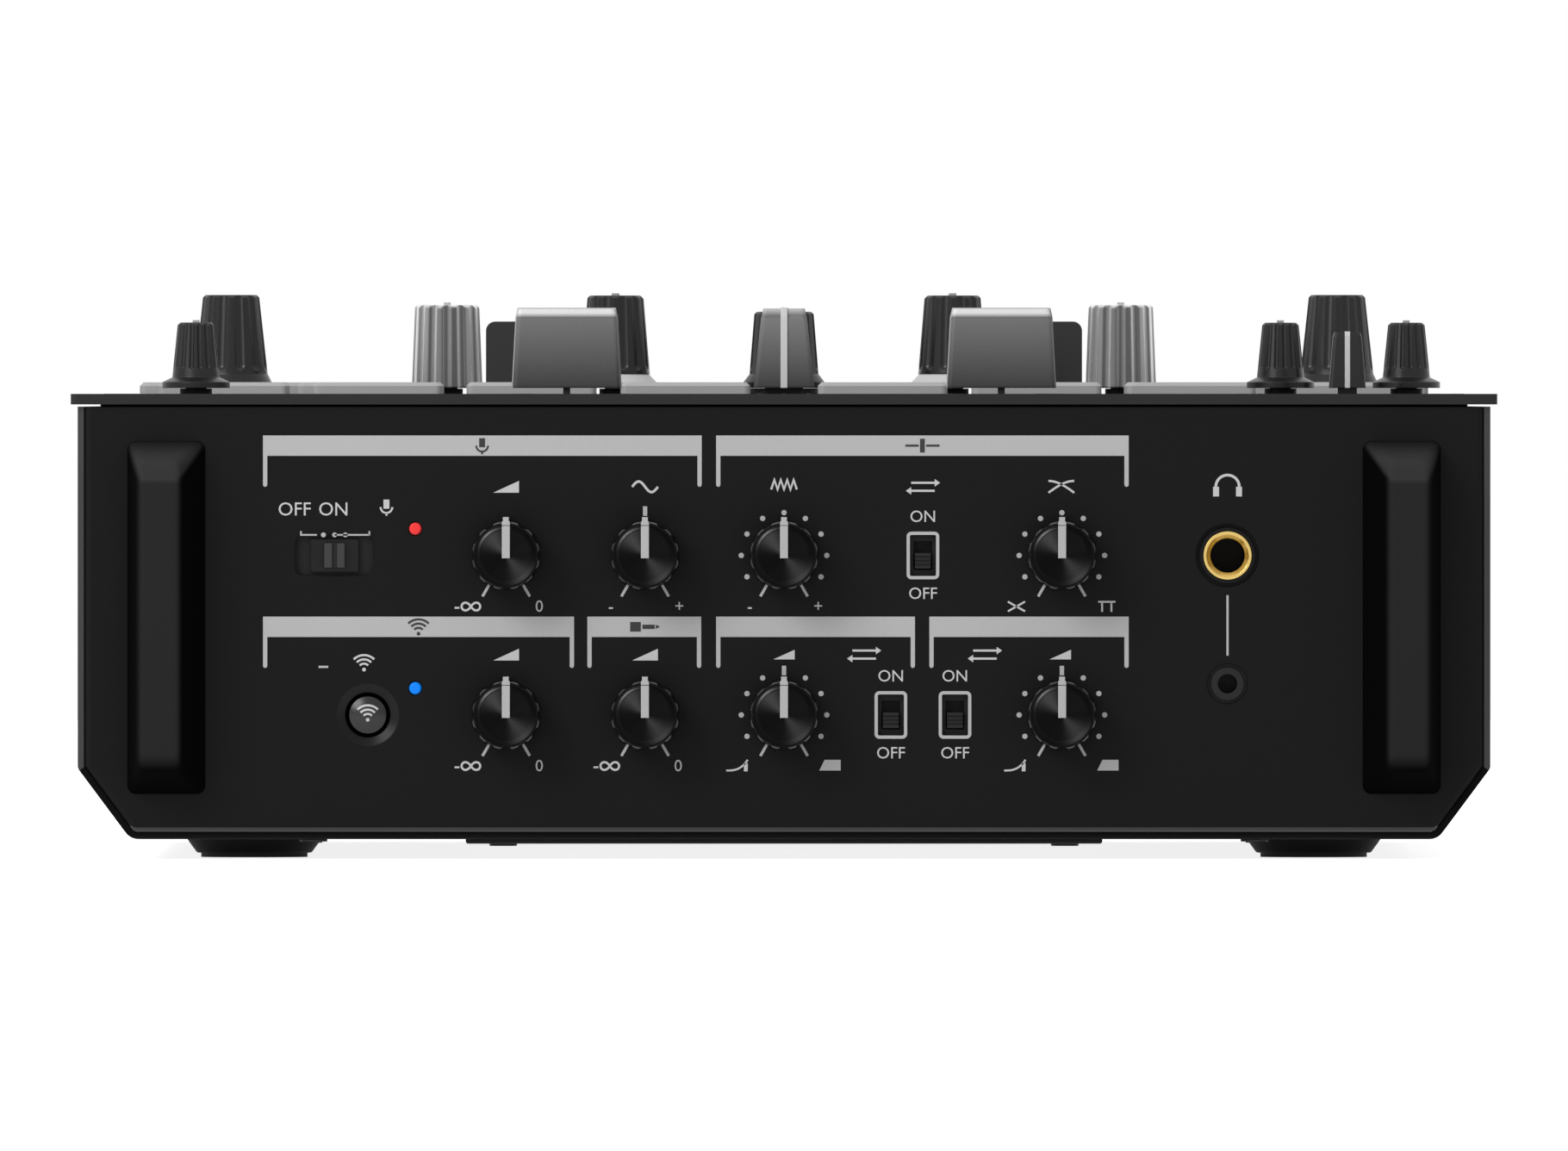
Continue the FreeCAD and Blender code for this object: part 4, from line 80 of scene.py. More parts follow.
def coat_grain_group():
    """Fine grain and slow cloudiness for painted and moulded surfaces, from Object coordinates."""
    group = bpy.data.node_groups.new("coat_grain", "ShaderNodeTree")
    face = group.interface
    face.new_socket("Place", in_out="INPUT", socket_type="NodeSocketVector")
    face.new_socket("Color", in_out="INPUT", socket_type="NodeSocketColor")
    for name in ("Grain Scale", "Contrast", "Roughness", "Roughness Spread"):
        face.new_socket(name, in_out="INPUT", socket_type="NodeSocketFloat")
    face.new_socket("Color", in_out="OUTPUT", socket_type="NodeSocketColor")
    face.new_socket("Roughness", in_out="OUTPUT", socket_type="NodeSocketFloat")
    face.new_socket("Height", in_out="OUTPUT", socket_type="NodeSocketFloat")
    given = group.nodes.new("NodeGroupInput").outputs
    grain, cloud = (
        new_node(group, "ShaderNodeTexNoise", Vector=given["Place"], Scale=scale, Detail=detail)
        for scale, detail in ((given["Grain Scale"], 3), (CLOUD_SCALE, 4))
    )
    both = math_step(group, "ADD", grain.outputs["Fac"], cloud.outputs["Fac"])
    shift = math_step(group, "SUBTRACT", both, 1.0)
    swing = math_step(group, "MULTIPLY_ADD", shift, given["Contrast"], 1.0)
    rough = math_step(group, "MULTIPLY_ADD", shift, given["Roughness Spread"], given["Roughness"])
    tint = group.nodes.new("ShaderNodeVectorMath")
    tint.operation = "SCALE"
    plug(tint, {0: given["Color"], "Scale": swing})
    new_node(
        group, "NodeGroupOutput", Color=tint.outputs[0], Roughness=rough, Height=grain.outputs["Fac"]
    )
    return group


CLOUD_SCALE, ROUGHNESS_SPREAD, RELIEF_HEIGHT, EDGE_SAMPLES = 22, 0.12, 0.05 * MM, 4
COAT_GRAIN = coat_grain_group()


def finish(name, color, roughness, specular=0.5, metallic=0.0,
           grain=1600, contrast=0.12, bump=0.1, edge=0.25):
    """A grained finish; edge is the radius in millimetres over which sharp edges catch the light."""
    made = bpy.data.materials.new(name)
    made.use_nodes = True
    tree = made.node_tree
    place = tree.nodes.new("ShaderNodeTexCoord")
    coat = tree.nodes.new("ShaderNodeGroup")
    coat.node_tree = COAT_GRAIN
    plug(coat, {
        "Place": place.outputs["Object"], "Color": color, "Grain Scale": grain, "Contrast": contrast,
        "Roughness": roughness, "Roughness Spread": ROUGHNESS_SPREAD,
    })
    relief = new_node(
        tree, "ShaderNodeBump", Strength=bump, Distance=RELIEF_HEIGHT, Height=coat.outputs["Height"]
    )
    if edge:
        rounding = new_node(tree, "ShaderNodeBevel", Radius=edge * MM)
        rounding.samples = EDGE_SAMPLES
        plug(relief, {"Normal": rounding.outputs["Normal"]})
    plug(node_of(made, "BSDF_PRINCIPLED"), {
        "Base Color": coat.outputs["Color"], "Roughness": coat.outputs["Roughness"],
        "Normal": relief.outputs["Normal"], "Specular IOR Level": specular, "Metallic": metallic,
    })
    return made


def dress(node, *materials):
    mesh = frame["nodes"][node].data
    mesh.materials.clear()
    for material in materials:
        mesh.materials.append(material)
    mesh.polygons.foreach_set("material_index", [0] * len(mesh.polygons))


def paint_where(node, index, test):
    """Gives a material to the faces of a node that a test of their middle and normal picks."""
    for polygon in frame["nodes"][node].data.polygons:
        if test(polygon.center, polygon.normal):
            polygon.material_index = index


COAT_BLACK = (0.0034, 0.0034, 0.0036)
COAT_SCALE = 2600
powder_black = finish("powder_black", COAT_BLACK, 0.5, specular=0.1, grain=COAT_SCALE, bump=0.25, edge=0.5)
shell_black = finish("shell_black", COAT_BLACK, 0.7, specular=0.04, grain=COAT_SCALE, bump=0.25, edge=0.2)
bend_sheen = finish("bend_sheen", COAT_BLACK, 0.3, specular=0.45, grain=COAT_SCALE, bump=0.15, edge=0.3)
dish_satin = finish("dish_satin", COAT_BLACK, 0.35, specular=0.16, grain=COAT_SCALE, bump=0.15, edge=0.3)
# Painted highlight: the shell's sheet edge beside and above the front panel is painted lighter grey where it
# catches the light.
cut_edge = finish("cut_edge", grey(0.035), 0.4, specular=0.3, grain=COAT_SCALE)
# Painted light: the service plate is painted lighter than the coat, standing in for the light on its front edge.
cover_black = finish("cover_black", grey(0.02), 0.5, specular=0.2, grain=COAT_SCALE, bump=0.25, edge=0.5)
FRONT_FACE_Y, PANEL_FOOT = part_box("front_panel")[0][1:]
CHAMFER_TOP, RIM_DEPTH, BEND_RADIUS = 16.5 * MM, 2 * MM, 1.5 * MM
dress("body_shell", powder_black, cut_edge, shell_black)
# Painted highlight on the shell's front edge above the chamfers; below them the shell stays dark.
paint_where("body_shell", 1, lambda middle, normal: (
    normal.y < -0.9 and middle.y < FRONT_FACE_Y + RIM_DEPTH and middle.z > CHAMFER_TOP
))
paint_where("body_shell", 2, lambda middle, normal: middle.z <= CHAMFER_TOP)
dress("front_panel", powder_black, bend_sheen, dish_satin)
paint_where("front_panel", 1, lambda middle, normal: (
    middle.y < FRONT_FACE_Y + BEND_RADIUS and middle.z < PANEL_FOOT + BEND_RADIUS
    and -0.85 < normal.z < -0.45
))
dress("rear_panel", powder_black)
# The service plate takes the lighter colour, a painted highlight.
dress("bottom_cover", cover_black)

# The boards, housings and fixings inside the case: green laminate, black moulded boxes and
# blackened steel screws. Little of them shows, through the vents, slots and sockets.
laminate = finish("laminate", (0.02, 0.09, 0.04), 0.4, grain=400)
housing_black = finish("housing_black", grey(0.0045), 0.5, specular=0.18)
screw_black = finish("screw_black", grey(0.03), 0.35, metallic=1.0, grain=3000)
for node in ("main_board", "control_board", "front_board", "power_supply"):
    dress(node, laminate)
for node in ("pot_bodies", "fader_tracks", "switch_bodies"):
    dress(node, housing_black)
dress("case_screws", screw_black)


# The feet: moulded cones of hard black plastic, each held to the case's floor by one screw from
# inside, with a soft rubber disc let into its underside so that the case does not slide.
def mixed(tree, share, first, second):
    """The result of mixing two colours by a share."""
    tone = tree.nodes.new("ShaderNodeMix")
    tone.data_type = "RGBA"
    low, high = [number for number, socket in enumerate(tone.inputs) if socket.type == "RGBA"]
    plug(tone, {0: share, low: first, high: second})
    return next(socket for socket in tone.outputs if socket.type == "RGBA")


def fading_finish(name, low_color, high_color, z_low, z_high, roughness=0.38, specular=0.35, edge=0.6):
    """A finish whose colour goes from one to another with height."""
    made = finish(name, high_color, roughness, specular=specular, edge=edge)
    tree = made.node_tree
    parts = new_node(tree, "ShaderNodeSeparateXYZ", {0: node_of(made, "TEX_COORD").outputs["Object"]})
    rise = new_node(
        tree, "ShaderNodeMapRange", {"Value": parts.outputs["Z"], "From Min": z_low, "From Max": z_high}
    )
    plug(node_of(made, "GROUP"), {"Color": mixed(tree, rise.outputs["Result"], low_color, high_color)})
    return made


FOOT_FLOOR, FOOT_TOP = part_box("feet")[0][2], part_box("feet")[1][2]
# Painted shade: the feet are painted darkest at the floor and lighter towards the case.
foot_black = fading_finish(
    "foot_black", grey(0.003), grey(0.04), FOOT_FLOOR, FOOT_TOP, roughness=0.6, specular=0.05, edge=0.3
)
pad_rubber = finish("pad_rubber", grey(0.02), 0.75, specular=0.3, grain=3500, bump=0.4)
dress("feet", foot_black)
dress("foot_pads", pad_rubber)


# The bumpers: moulded soft bars at the ends of the front panel, screwed on from behind. They keep
# the knobs clear when the case is stood on its front. Their colour holds painted shade, dark down the
# sloping flanks and lower end, and a painted highlight, palest at the bend under the upper slope.
def bumper_painted_shading():
    """Soft black with painted light: a painted highlight under the upper slope and painted shade down the flanks
    and lower end.
    """
    made = finish("bumper_soft", grey(0.02), 0.85, specular=0.01, grain=3200, bump=0.3, edge=1.2)
    tree = made.node_tree
    parts = new_node(tree, "ShaderNodeSeparateXYZ", {0: node_of(made, "TEX_COORD").outputs["Object"]})
    height, aside = parts.outputs["Z"], math_step(tree, "ABSOLUTE", parts.outputs["X"])

    def mitred(flank, operation):
        """The place across the bar, shifted near the upper end so that a flank narrows to its corner."""
        climb = flank / SLOPE_HEIGHT
        shift = math_step(tree, "MULTIPLY_ADD", height, climb, flank - climb * BUMPER_HEAD)
        return math_step(tree, operation, aside, math_step(tree, "MAXIMUM", shift, 0.0))

    def share_of(source, dark, pale):
        """Nought at the dark place and one at the pale place, with a soft step between them."""
        share = new_node(tree, "ShaderNodeMapRange", {
            "Value": source, "From Min": min(dark, pale), "From Max": max(dark, pale),
            "To Min": float(dark > pale), "To Max": float(dark < pale),
        })
        share.interpolation_type = "SMOOTHSTEP"
        return share.outputs["Result"]

    # Painted shade: the face's share falls to nought down the flanks and the lower end, which take the darkest
    # grey.
    face = share_of(mitred(INNER_FLANK, "ADD"), BUMPER_INNER + INNER_DARK, BUMPER_INNER + INNER_PALE)
    for share in (
        share_of(mitred(OUTER_FLANK, "SUBTRACT"), BUMPER_OUTER - OUTER_DARK, BUMPER_OUTER - OUTER_PALE),
        share_of(height, BUMPER_FOOT + FOOT_DARK, BUMPER_FOOT + FOOT_PALE),
        share_of(height, BUMPER_HEAD + HEAD_DARK, BUMPER_HEAD - HEAD_PALE),
    ):
        face = math_step(tree, "MULTIPLY", face, share)
    slope_foot = BUMPER_HEAD - SLOPE_HEIGHT
    slope = share_of(height, slope_foot - SLOPE_FADE, slope_foot)
    # Painted highlight: the band at the foot of the upper slope is painted paler than the face.
    face_tone = mixed(tree, slope, grey(0.022), grey(0.037))
    plug(node_of(made, "GROUP"), {"Color": mixed(tree, face, grey(0.0018), face_tone)})
    return made


BUMPER_WIDTH, INNER_FLANK, OUTER_FLANK, SLOPE_HEIGHT = 14.8 * MM, 4.9 * MM, 2.3 * MM, 7 * MM
INNER_DARK, INNER_PALE, OUTER_DARK, OUTER_PALE = 4.2 * MM, 5.6 * MM, 1.6 * MM, 3.0 * MM
FOOT_DARK, FOOT_PALE, HEAD_DARK, HEAD_PALE, SLOPE_FADE = 4 * MM, 8 * MM, 2 * MM, 4 * MM, 1.2 * MM
BUMPER_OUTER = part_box("front_bumpers")[1][0]
BUMPER_INNER = BUMPER_OUTER - BUMPER_WIDTH
BUMPER_FOOT, BUMPER_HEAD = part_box("front_bumpers")[0][2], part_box("front_bumpers")[1][2]
dress("front_bumpers", bumper_painted_shading())

# The top plate: thick sheet in satin black that lies on the case's ledges, held by flush screws.
# Its rim stands proud of the case all round and leaves an open shadow line under it.
plate_black = finish("plate_black", grey(0.012), 0.45, specular=0.2, grain=COAT_SCALE, bump=0.2)
dress("top_plate", plate_black)
PLATE_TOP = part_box("level_meter")[1][2]

# The headphone sockets: black moulded bodies soldered to the board behind the panel. The large one
# is held by a gold plated ring that shows in front.
socket_black = finish("socket_black", grey(0.003), 0.35, specular=0.12)
socket_satin = finish("socket_satin", grey(0.009), 0.35, specular=0.2)
gold = finish("gold", (0.6, 0.43, 0.14), 0.22, metallic=1.0, grain=500, contrast=0.06, bump=0.02, edge=0.2)
SMALL_SOCKET_TOP = 45 * MM
dress("phones_jacks", socket_black, socket_satin)
paint_where("phones_jacks", 1, lambda middle, normal: middle.z < SMALL_SOCKET_TOP and normal.y < -0.5)
dress("phones_jack_ring", gold)


# The status lamps: small moulded lenses pressed into the panel, each over a lamp on the board.
# Red belongs to the microphone and blue to the wireless input.
def lit_lens(name, color, glow):
    """A clear coloured lens that glows a little with its own colour."""
    made = finish(name, color, 0.2, specular=0.15, grain=800, contrast=0.2, edge=0)
    own_color = node_of(made, "GROUP").outputs["Color"]
    plug(node_of(made, "BSDF_PRINCIPLED"), {"Emission Color": own_color, "Emission Strength": glow})
    return made


dress("red_led", lit_lens("red_lens", (0.8, 0.04, 0.04), 0.1))
dress("blue_led", lit_lens("blue_lens", (0.002, 0.22, 0.9), 0.15))

# The front switches and the pairing button: a satin slider with a ribbed grip in a rounded window,
# three small levers, and a round sprung button in a dished hole. The dark gap about the button and
# the groove in the slider's grip are painted shade.
switch_black = finish("switch_black", grey(0.0025), 0.3, specular=0.2, edge=0.5)
switch_grey = finish("switch_grey", grey(0.01), 0.4, specular=0.2)
grip_grey = finish("grip_grey", grey(0.022), 0.35, specular=0.35, edge=0.4)
# Painted shade: a near black for the button's collar and sides, seen through the gap about it.
gap_black = finish("gap_black", grey(0.0006), 0.7, specular=0.0, edge=0)
button_black = finish("button_black", grey(0.008), 0.28, specular=0.4, edge=0)
GRIP_HALF, GRIP_HALF_HEIGHT, GROOVE_HALF = 1.95 * MM, 2.3 * MM, 0.44 * MM
BUTTON_RADIUS, DISH_REACH, PAINT_SLACK = 3.45 * MM, 6.9 * MM, 0.03 * MM
REVERSE_SWITCHES = ("crossfader_reverse_switch", "channel_one_reverse_switch", "channel_two_reverse_switch")


def paint_inside(node, low, high, index):
    """Gives a material to the faces of a node that lie wholly inside a box."""
    mesh = frame["nodes"][node].data
    inside = [
        all(low[axis] - PAINT_SLACK <= vertex.co[axis] <= high[axis] + PAINT_SLACK for axis in range(3))
        for vertex in mesh.vertices
    ]
    for polygon in mesh.polygons:
        if all(inside[vertex] for vertex in polygon.vertices):
            polygon.material_index = index


dress("mic_switch", switch_black, grip_grey, switch_grey)
low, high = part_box("mic_switch")
across, up = (low[0] + high[0]) / 2, (low[2] + high[2]) / 2
# The grip's bars take the lighter grey; the groove between them is painted darker, as painted shade.
for half, index in ((GRIP_HALF, 1), (GROOVE_HALF, 2)):
    grip_low = (across - half, low[1], up - GRIP_HALF_HEIGHT)
    grip_high = (across + half, high[1], up + GRIP_HALF_HEIGHT)
    paint_inside("mic_switch", grip_low, grip_high, index)
low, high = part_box("pairing_button")
button_x, button_z = (low[0] + high[0]) / 2, (low[2] + high[2]) / 2
dress("pairing_button", button_black, gap_black)
# Painted shade in the gap: the collar outside the button's face and its sides take the near black.
paint_where("pairing_button", 1, lambda middle, normal: (
    math.hypot(middle.x - button_x, middle.z - button_z) > BUTTON_RADIUS or normal.y > -0.5
))
paint_where("front_panel", 2, lambda middle, normal: (
    math.hypot(middle.x - button_x, middle.z - button_z) < DISH_REACH and -0.97 < normal.y < -0.1
))
for node in REVERSE_SWITCHES:
    dress(node, switch_grey)


# The front knobs: moulded black grips on shafts, with a white pointer let into the face and a
# spun metal disc in the dish whose bright and dark wedges are a painted reflection. The chamfer round
# each knob's rim is painted a little lighter and glossier, a painted highlight.
knob_black = finish("knob_black", grey(0.003), 0.35, specular=0.06, edge=0.15)
# Painted highlight: the rim's chamfer is painted a little lighter than the knob, and glossier so it also catches
# real light.
knob_rim = finish("knob_rim", grey(0.008), 0.3, specular=0.6, edge=0.15)
pointer_white = finish("pointer_white", grey(0.42), 0.4, specular=0.3, contrast=0.03)
FRONT_KNOBS = (
    "mic_level_knob", "mic_tone_knob", "crossfader_feel_knob", "crossfader_curve_knob",
    "wireless_level_knob", "aux_level_knob", "channel_one_curve_knob", "channel_two_curve_knob",
)
RIM_HEIGHT, POINTER_HALF, POINTER_TAIL = 0.8 * MM, 0.75 * MM, 0.5 * MM


def joint_of(body):
    return next(joint for joint in frame["joints"] if joint["child"] == body)


for node in FRONT_KNOBS:
    dress(node, knob_black, pointer_white, knob_rim)
    x, y, z = joint_of(node)["pos_m"]
    low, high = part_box(node)
    rim_y = low[1] + RIM_HEIGHT
    # The chamfer round the face's rim takes the lighter, glossier finish, a painted highlight.
    paint_where(node, 2, lambda middle, normal: middle.y < rim_y and -0.9 < normal.y < -0.3)
    pointer_low = (x - POINTER_HALF, low[1], z - POINTER_TAIL)
    paint_inside(node, pointer_low, (x + POINTER_HALF, high[1], high[2]), 1)


def spun_metal():
    """Dark metal brushed round the axis, with a painted reflection of a bright wedge and its opposite, from the UV
    map.
    """
    made = finish("spun_metal", grey(0.05), 0.3, metallic=1.0, grain=2500, contrast=0.1, edge=0)
    tree = made.node_tree
    around = tree.nodes.new("ShaderNodeTangent")
    around.direction_type = "UV_MAP"
    around.uv_map = "spin"
    plug(node_of(made, "BSDF_PRINCIPLED"), {"Anisotropic": 0.8, "Tangent": around.outputs["Tangent"]})
    place = tree.nodes.new("ShaderNodeUVMap")
    place.uv_map = "spin"
    parts = new_node(tree, "ShaderNodeSeparateXYZ", {0: place.outputs["UV"]})
    # Painted reflection: bright wedges painted by the angle round the knob, so they turn with it.
    twice_round = math_step(tree, "MULTIPLY_ADD", parts.outputs["X"], 4 * math.pi, -2 * WEDGE_TURN)
    swing = math_step(tree, "MULTIPLY_ADD", math_step(tree, "COSINE", twice_round), 0.5, 0.5)
    wedge = math_step(tree, "POWER", swing, WEDGE_POWER)
    plug(node_of(made, "GROUP"), {"Color": mixed(tree, wedge, grey(0.005), grey(0.036))})
    return made


WEDGE_TURN, WEDGE_POWER = math.radians(130), 5
DISH_RADIUS, DISH_DEPTH, DISC_RADIUS = 5.8 * MM, 0.8 * MM, 5.7 * MM
DISC_FRONT, DISC_BACK = 0.03 * MM, 0.005 * MM
DISC_SIDES, DISC_RINGS, DISC_HUB = 64, 5, 0.02
spun_dark = spun_metal()


def closed_mesh(name, work):
    """The mesh of a worked solid, with its faces turned outward."""
    bmesh.ops.recalc_face_normals(work, faces=work.faces)
    mesh = bpy.data.meshes.new(name)
    work.to_mesh(mesh)
    work.free()
    return mesh


def added(name, mesh, body, material=None):
    """A piece of the visual model that rides on a body."""
    if material:
        mesh.materials.clear()
        mesh.materials.append(material)
    piece = bpy.data.objects.new(name, mesh)
    bpy.context.collection.objects.link(piece)
    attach(piece, body)
    return piece


def spun_disc(node):
    """A thin dished disc on a knob's face, with a UV map that runs round and outwards."""
    x, y, z = joint_of(node)["pos_m"]
    face_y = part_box(node)[0][1]
    work = bmesh.new()
    layer = work.loops.layers.uv.new("spin")
    turns = [2 * math.pi * side / DISC_SIDES for side in range(DISC_SIDES)]
    sheets = []
    for lift in (DISC_FRONT, DISC_BACK):
        sheet = []
        for step in range(DISC_RINGS + 1):
            radius = DISC_RADIUS * max(step / DISC_RINGS, DISC_HUB)
            depth = DISH_DEPTH * (1 - radius / DISH_RADIUS) - lift
            sheet.append([
                work.verts.new((x + radius * math.cos(turn), face_y + depth, z + radius * math.sin(turn)))
                for turn in turns
            ])
        sheets.append(sheet)
    front, back = sheets
    for sheet in sheets:
        work.faces.new(sheet[0])
        for step in range(DISC_RINGS):
            for side in range(DISC_SIDES):
                after = (side + 1) % DISC_SIDES
                quad = work.faces.new((sheet[step][side], sheet[step + 1][side],
                                       sheet[step + 1][after], sheet[step][after]))
                spans = ((side, step), (side, step + 1), (side + 1, step + 1), (side + 1, step))
                for loop, (across, out) in zip(quad.loops, spans):
                    loop[layer].uv = (across / DISC_SIDES, out / DISC_RINGS)
                quad.smooth = True
    for side in range(DISC_SIDES):
        after = (side + 1) % DISC_SIDES
        work.faces.new((front[-1][side], front[-1][after], back[-1][after], back[-1][side]))
    added(node + "_disc", closed_mesh(node + "_disc", work), node, spun_dark)


for node in FRONT_KNOBS:
    spun_disc(node)

# The print on the front panel: pale grey ink in a thin raised layer, with bars over each group of
# controls, outlines round the switches, plain pictures, numbers, and ON and OFF by the switches.
INK, INK_WELD = 0.05 * MM, 0.002 * MM
ROW_ONE, ROW_TWO = joint_of("mic_level_knob")["pos_m"][2] / MM, joint_of("aux_level_knob")["pos_m"][2] / MM
ink_pale = finish("ink_pale", grey(0.43), 0.6, contrast=0.08, edge=0)
ink_letter = finish("ink_letter", grey(0.52), 0.6, contrast=0.08, edge=0)
ink_dark = finish("ink_dark", grey(0.006), 0.6, contrast=0.08, edge=0)


def bar(x_low, x_high, z_low, z_high):
    return [(x_low, z_low), (x_high, z_low), (x_high, z_high), (x_low, z_high)]


def disc(x, z, radius, sides=20):
    return [
        (x + radius * math.cos(2 * math.pi * i / sides), z + radius * math.sin(2 * math.pi * i / sides))
        for i in range(sides)
    ]


def arc(x, z, radius, start, end, steps=14):
    """Points along a circle, with angles in degrees from +X towards +Z."""
    turns = [math.radians(start + (end - start) * i / steps) for i in range(steps + 1)]
    return [(x + radius * math.cos(turn), z + radius * math.sin(turn)) for turn in turns]


def stroke(points, width, closed=False):
    """Quads along a line of points in the panel's plane, mitred where the line turns."""
    count = len(points)
    sides = []
    for index, point in enumerate(points):
        before = points[index - 1] if closed or index else None
        after = points[(index + 1) % count] if closed or index < count - 1 else None
        ways = []
        for start, end in ((before, point), (point, after)):
            if start and end:
                ways.append((Vector(end) - Vector(start)).normalized())
        along = sum(ways, Vector((0, 0))).normalized()
        across = Vector((-along.y, along.x))
        reach = width / 2 / max(0.4, abs(across.dot(Vector((-ways[0].y, ways[0].x)))))
        sides.append((Vector(point) + across * reach, Vector(point) - across * reach))
    last = count if closed else count - 1
    quads = []
    for index in range(last):
        left, right = sides[index]
        next_left, next_right = sides[(index + 1) % count]
        quads.append([tuple(right), tuple(next_right), tuple(next_left), tuple(left)])
    return quads


def rounded_frame(x, z, width, height, radius):
    right, top = width / 2 - radius, height / 2 - radius
    points = []
    for i, k, start in ((right, top, 0), (-right, top, 90), (-right, -top, 180), (right, -top, 270)):
        points += arc(x + i, z + k, radius, start, start + 90, 5)
    return points


def inked(name, shapes, material, lift=0.0, body="chassis"):
    """A thin closed layer on the front panel from flat outlines in millimetres, as (x, z)."""
    work = bmesh.new()
    for shape in shapes:
        work.faces.new([work.verts.new((x * MM, FRONT_FACE_Y - lift, z * MM)) for x, z in shape])
    bmesh.ops.remove_doubles(work, verts=work.verts, dist=INK_WELD)
    bmesh.ops.recalc_face_normals(work, faces=work.faces)
    grown = bmesh.ops.extrude_face_region(work, geom=work.faces[:])
    raised = [item for item in grown["geom"] if isinstance(item, bmesh.types.BMVert)]
    bmesh.ops.translate(work, verts=raised, vec=(0, -INK, 0))
    return added(name, closed_mesh(name, work), body, material)


BAR_HEIGHT, LEG_LENGTH, LEG_HALF = 3.8, 5.4, 0.4


def group_bar(x_low, x_high, z_high):
    """A bar over a group of controls, with a thin leg down from each end."""
    z_low = z_high - BAR_HEIGHT
    legs = []
    for x in (x_low + LEG_HALF, x_high - LEG_HALF):
        tip = arc(x, z_low - LEG_LENGTH, LEG_HALF, 180, 360, 6)
        legs.append(tip + [(x + LEG_HALF, z_low), (x - LEG_HALF, z_low)])
    return [bar(x_low, x_high, z_low, z_high)] + legs


UPPER_BARS_TOP, LOWER_BARS_TOP = 79.2, 45.3
bars = []
for x_low, x_high in ((-97.5, -15.4), (-12.7, 64.5)):
    bars += group_bar(x_low, x_high, UPPER_BARS_TOP)
for x_low, x_high in ((-97.5, -39.3), (-36.8, -15.5), (-12.7, 24.5), (27.2, 64.5)):
    bars += group_bar(x_low, x_high, LOWER_BARS_TOP)
inked("group_bars", bars, ink_pale)

FRAME_WIDTH, FRAME_HEIGHT, FRAME_CORNER, FRAME_LINE = 5.5, 8.3, 0.6, 0.6
LEADER_Z, LEADER_LINE, LEADER_DOT = 60.6, 0.3, 0.45
outlines = []
for switch in REVERSE_SWITCHES:
    low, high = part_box(switch)
    middle = (low[0] + high[0]) / 2 / MM
    row = ROW_ONE if switch.startswith("crossfader") else ROW_TWO
    window = rounded_frame(middle, row, FRAME_WIDTH, FRAME_HEIGHT, FRAME_CORNER)
    outlines += stroke(window, FRAME_LINE, closed=True)
phones_divider, lamp_dash = bar(82.8, 83.2, 38.0, 49.3), bar(-87.1, -85.3, 35.7, 36.1)
outlines += [phones_divider, lamp_dash]
outlines += stroke([(-90.4, 61.3), (-90.4, LEADER_Z), (-87.4, LEADER_Z)], LEADER_LINE)
outlines += [disc(x, LEADER_Z, LEADER_DOT) for x in (-86.2, -84.1, -82.1)]
outlines.append(bar(-84.1, -77.6, LEADER_Z - LEADER_LINE / 2, LEADER_Z + LEADER_LINE / 2))
outlines += stroke([(-77.6, 60.5), (-77.6, 61.3)], LEADER_LINE)
inked("switch_outlines", outlines, ink_pale)


# The pictures on the front panel: plain signs about three millimetres high, printed in pale ink by
# the controls and on the dome of the pairing button, and in dark ink on the bars.
def wedge(x, z, half=2.4, rise=1.1):
    return [[(x - half, z - rise), (x + half, z - rise), (x + half, z + rise)]]


def sine_wave(x, z):
    points = [(x - 2.4 + 4.8 * i / 24, z + 1.0 * math.sin(2 * math.pi * i / 24)) for i in range(25)]
    return stroke(points, 0.45)


def opposite_arrows(x, z):
    marks = []
    for way, rise in ((1, 0.75), (-1, -0.75)):
        marks.append(bar(x - 2.2, x + 2.2, z + rise - 0.2, z + rise + 0.2))
        tip, back = x + way * 3.2, x + way * 2.2
        marks.append([(back, z + rise - 0.7), (tip, z + rise), (back, z + rise + 0.7)])
    return marks


def fade_curves(x, z):
    falling = [(x - 2.4 + 4.8 * i / 12, z - 1.1 + 2.2 * math.cos(math.pi / 2 * i / 12)) for i in range(13)]
    rising = [(2 * x - px, pz) for px, pz in falling]
    return stroke(falling, 0.4) + stroke(rising, 0.4)


def spring_feel(x, z):
    points = [(x - 2.4 + 0.6 * i, z + (0.9 if i % 2 else -0.9)) for i in range(9)]
    return stroke(points, 0.4)


def headphones(x, z):
    band = stroke(arc(x, z - 0.4, 2.2, 0, 180), 0.5)
    return band + [bar(x - 2.7, x - 1.6, z - 2.2, z - 0.4), bar(x + 1.6, x + 2.7, z - 2.2, z - 0.4)]


def microphone(x, z):
    return [bar(x - 0.55, x + 0.55, z - 0.3, z + 1.4)] + stroke(arc(x, z, 1.1, 180, 360), 0.35) + [
        bar(x - 0.18, x + 0.18, z - 1.6, z - 1.2)
    ]


def slider_mark(x, z):
    return [bar(x - 3.2, x - 0.7, z - 0.2, z + 0.2), bar(x - 0.45, x + 0.45, z - 1.3, z + 1.3),
            bar(x + 0.7, x + 3.2, z - 0.2, z + 0.2)]


def radio_arcs(x, z):
    marks = [disc(x, z - 1.2, 0.35)]
    for radius in (1.1, 1.9, 2.7):
        marks += stroke(arc(x, z - 1.2, radius, 45, 135), 0.4)
    return marks


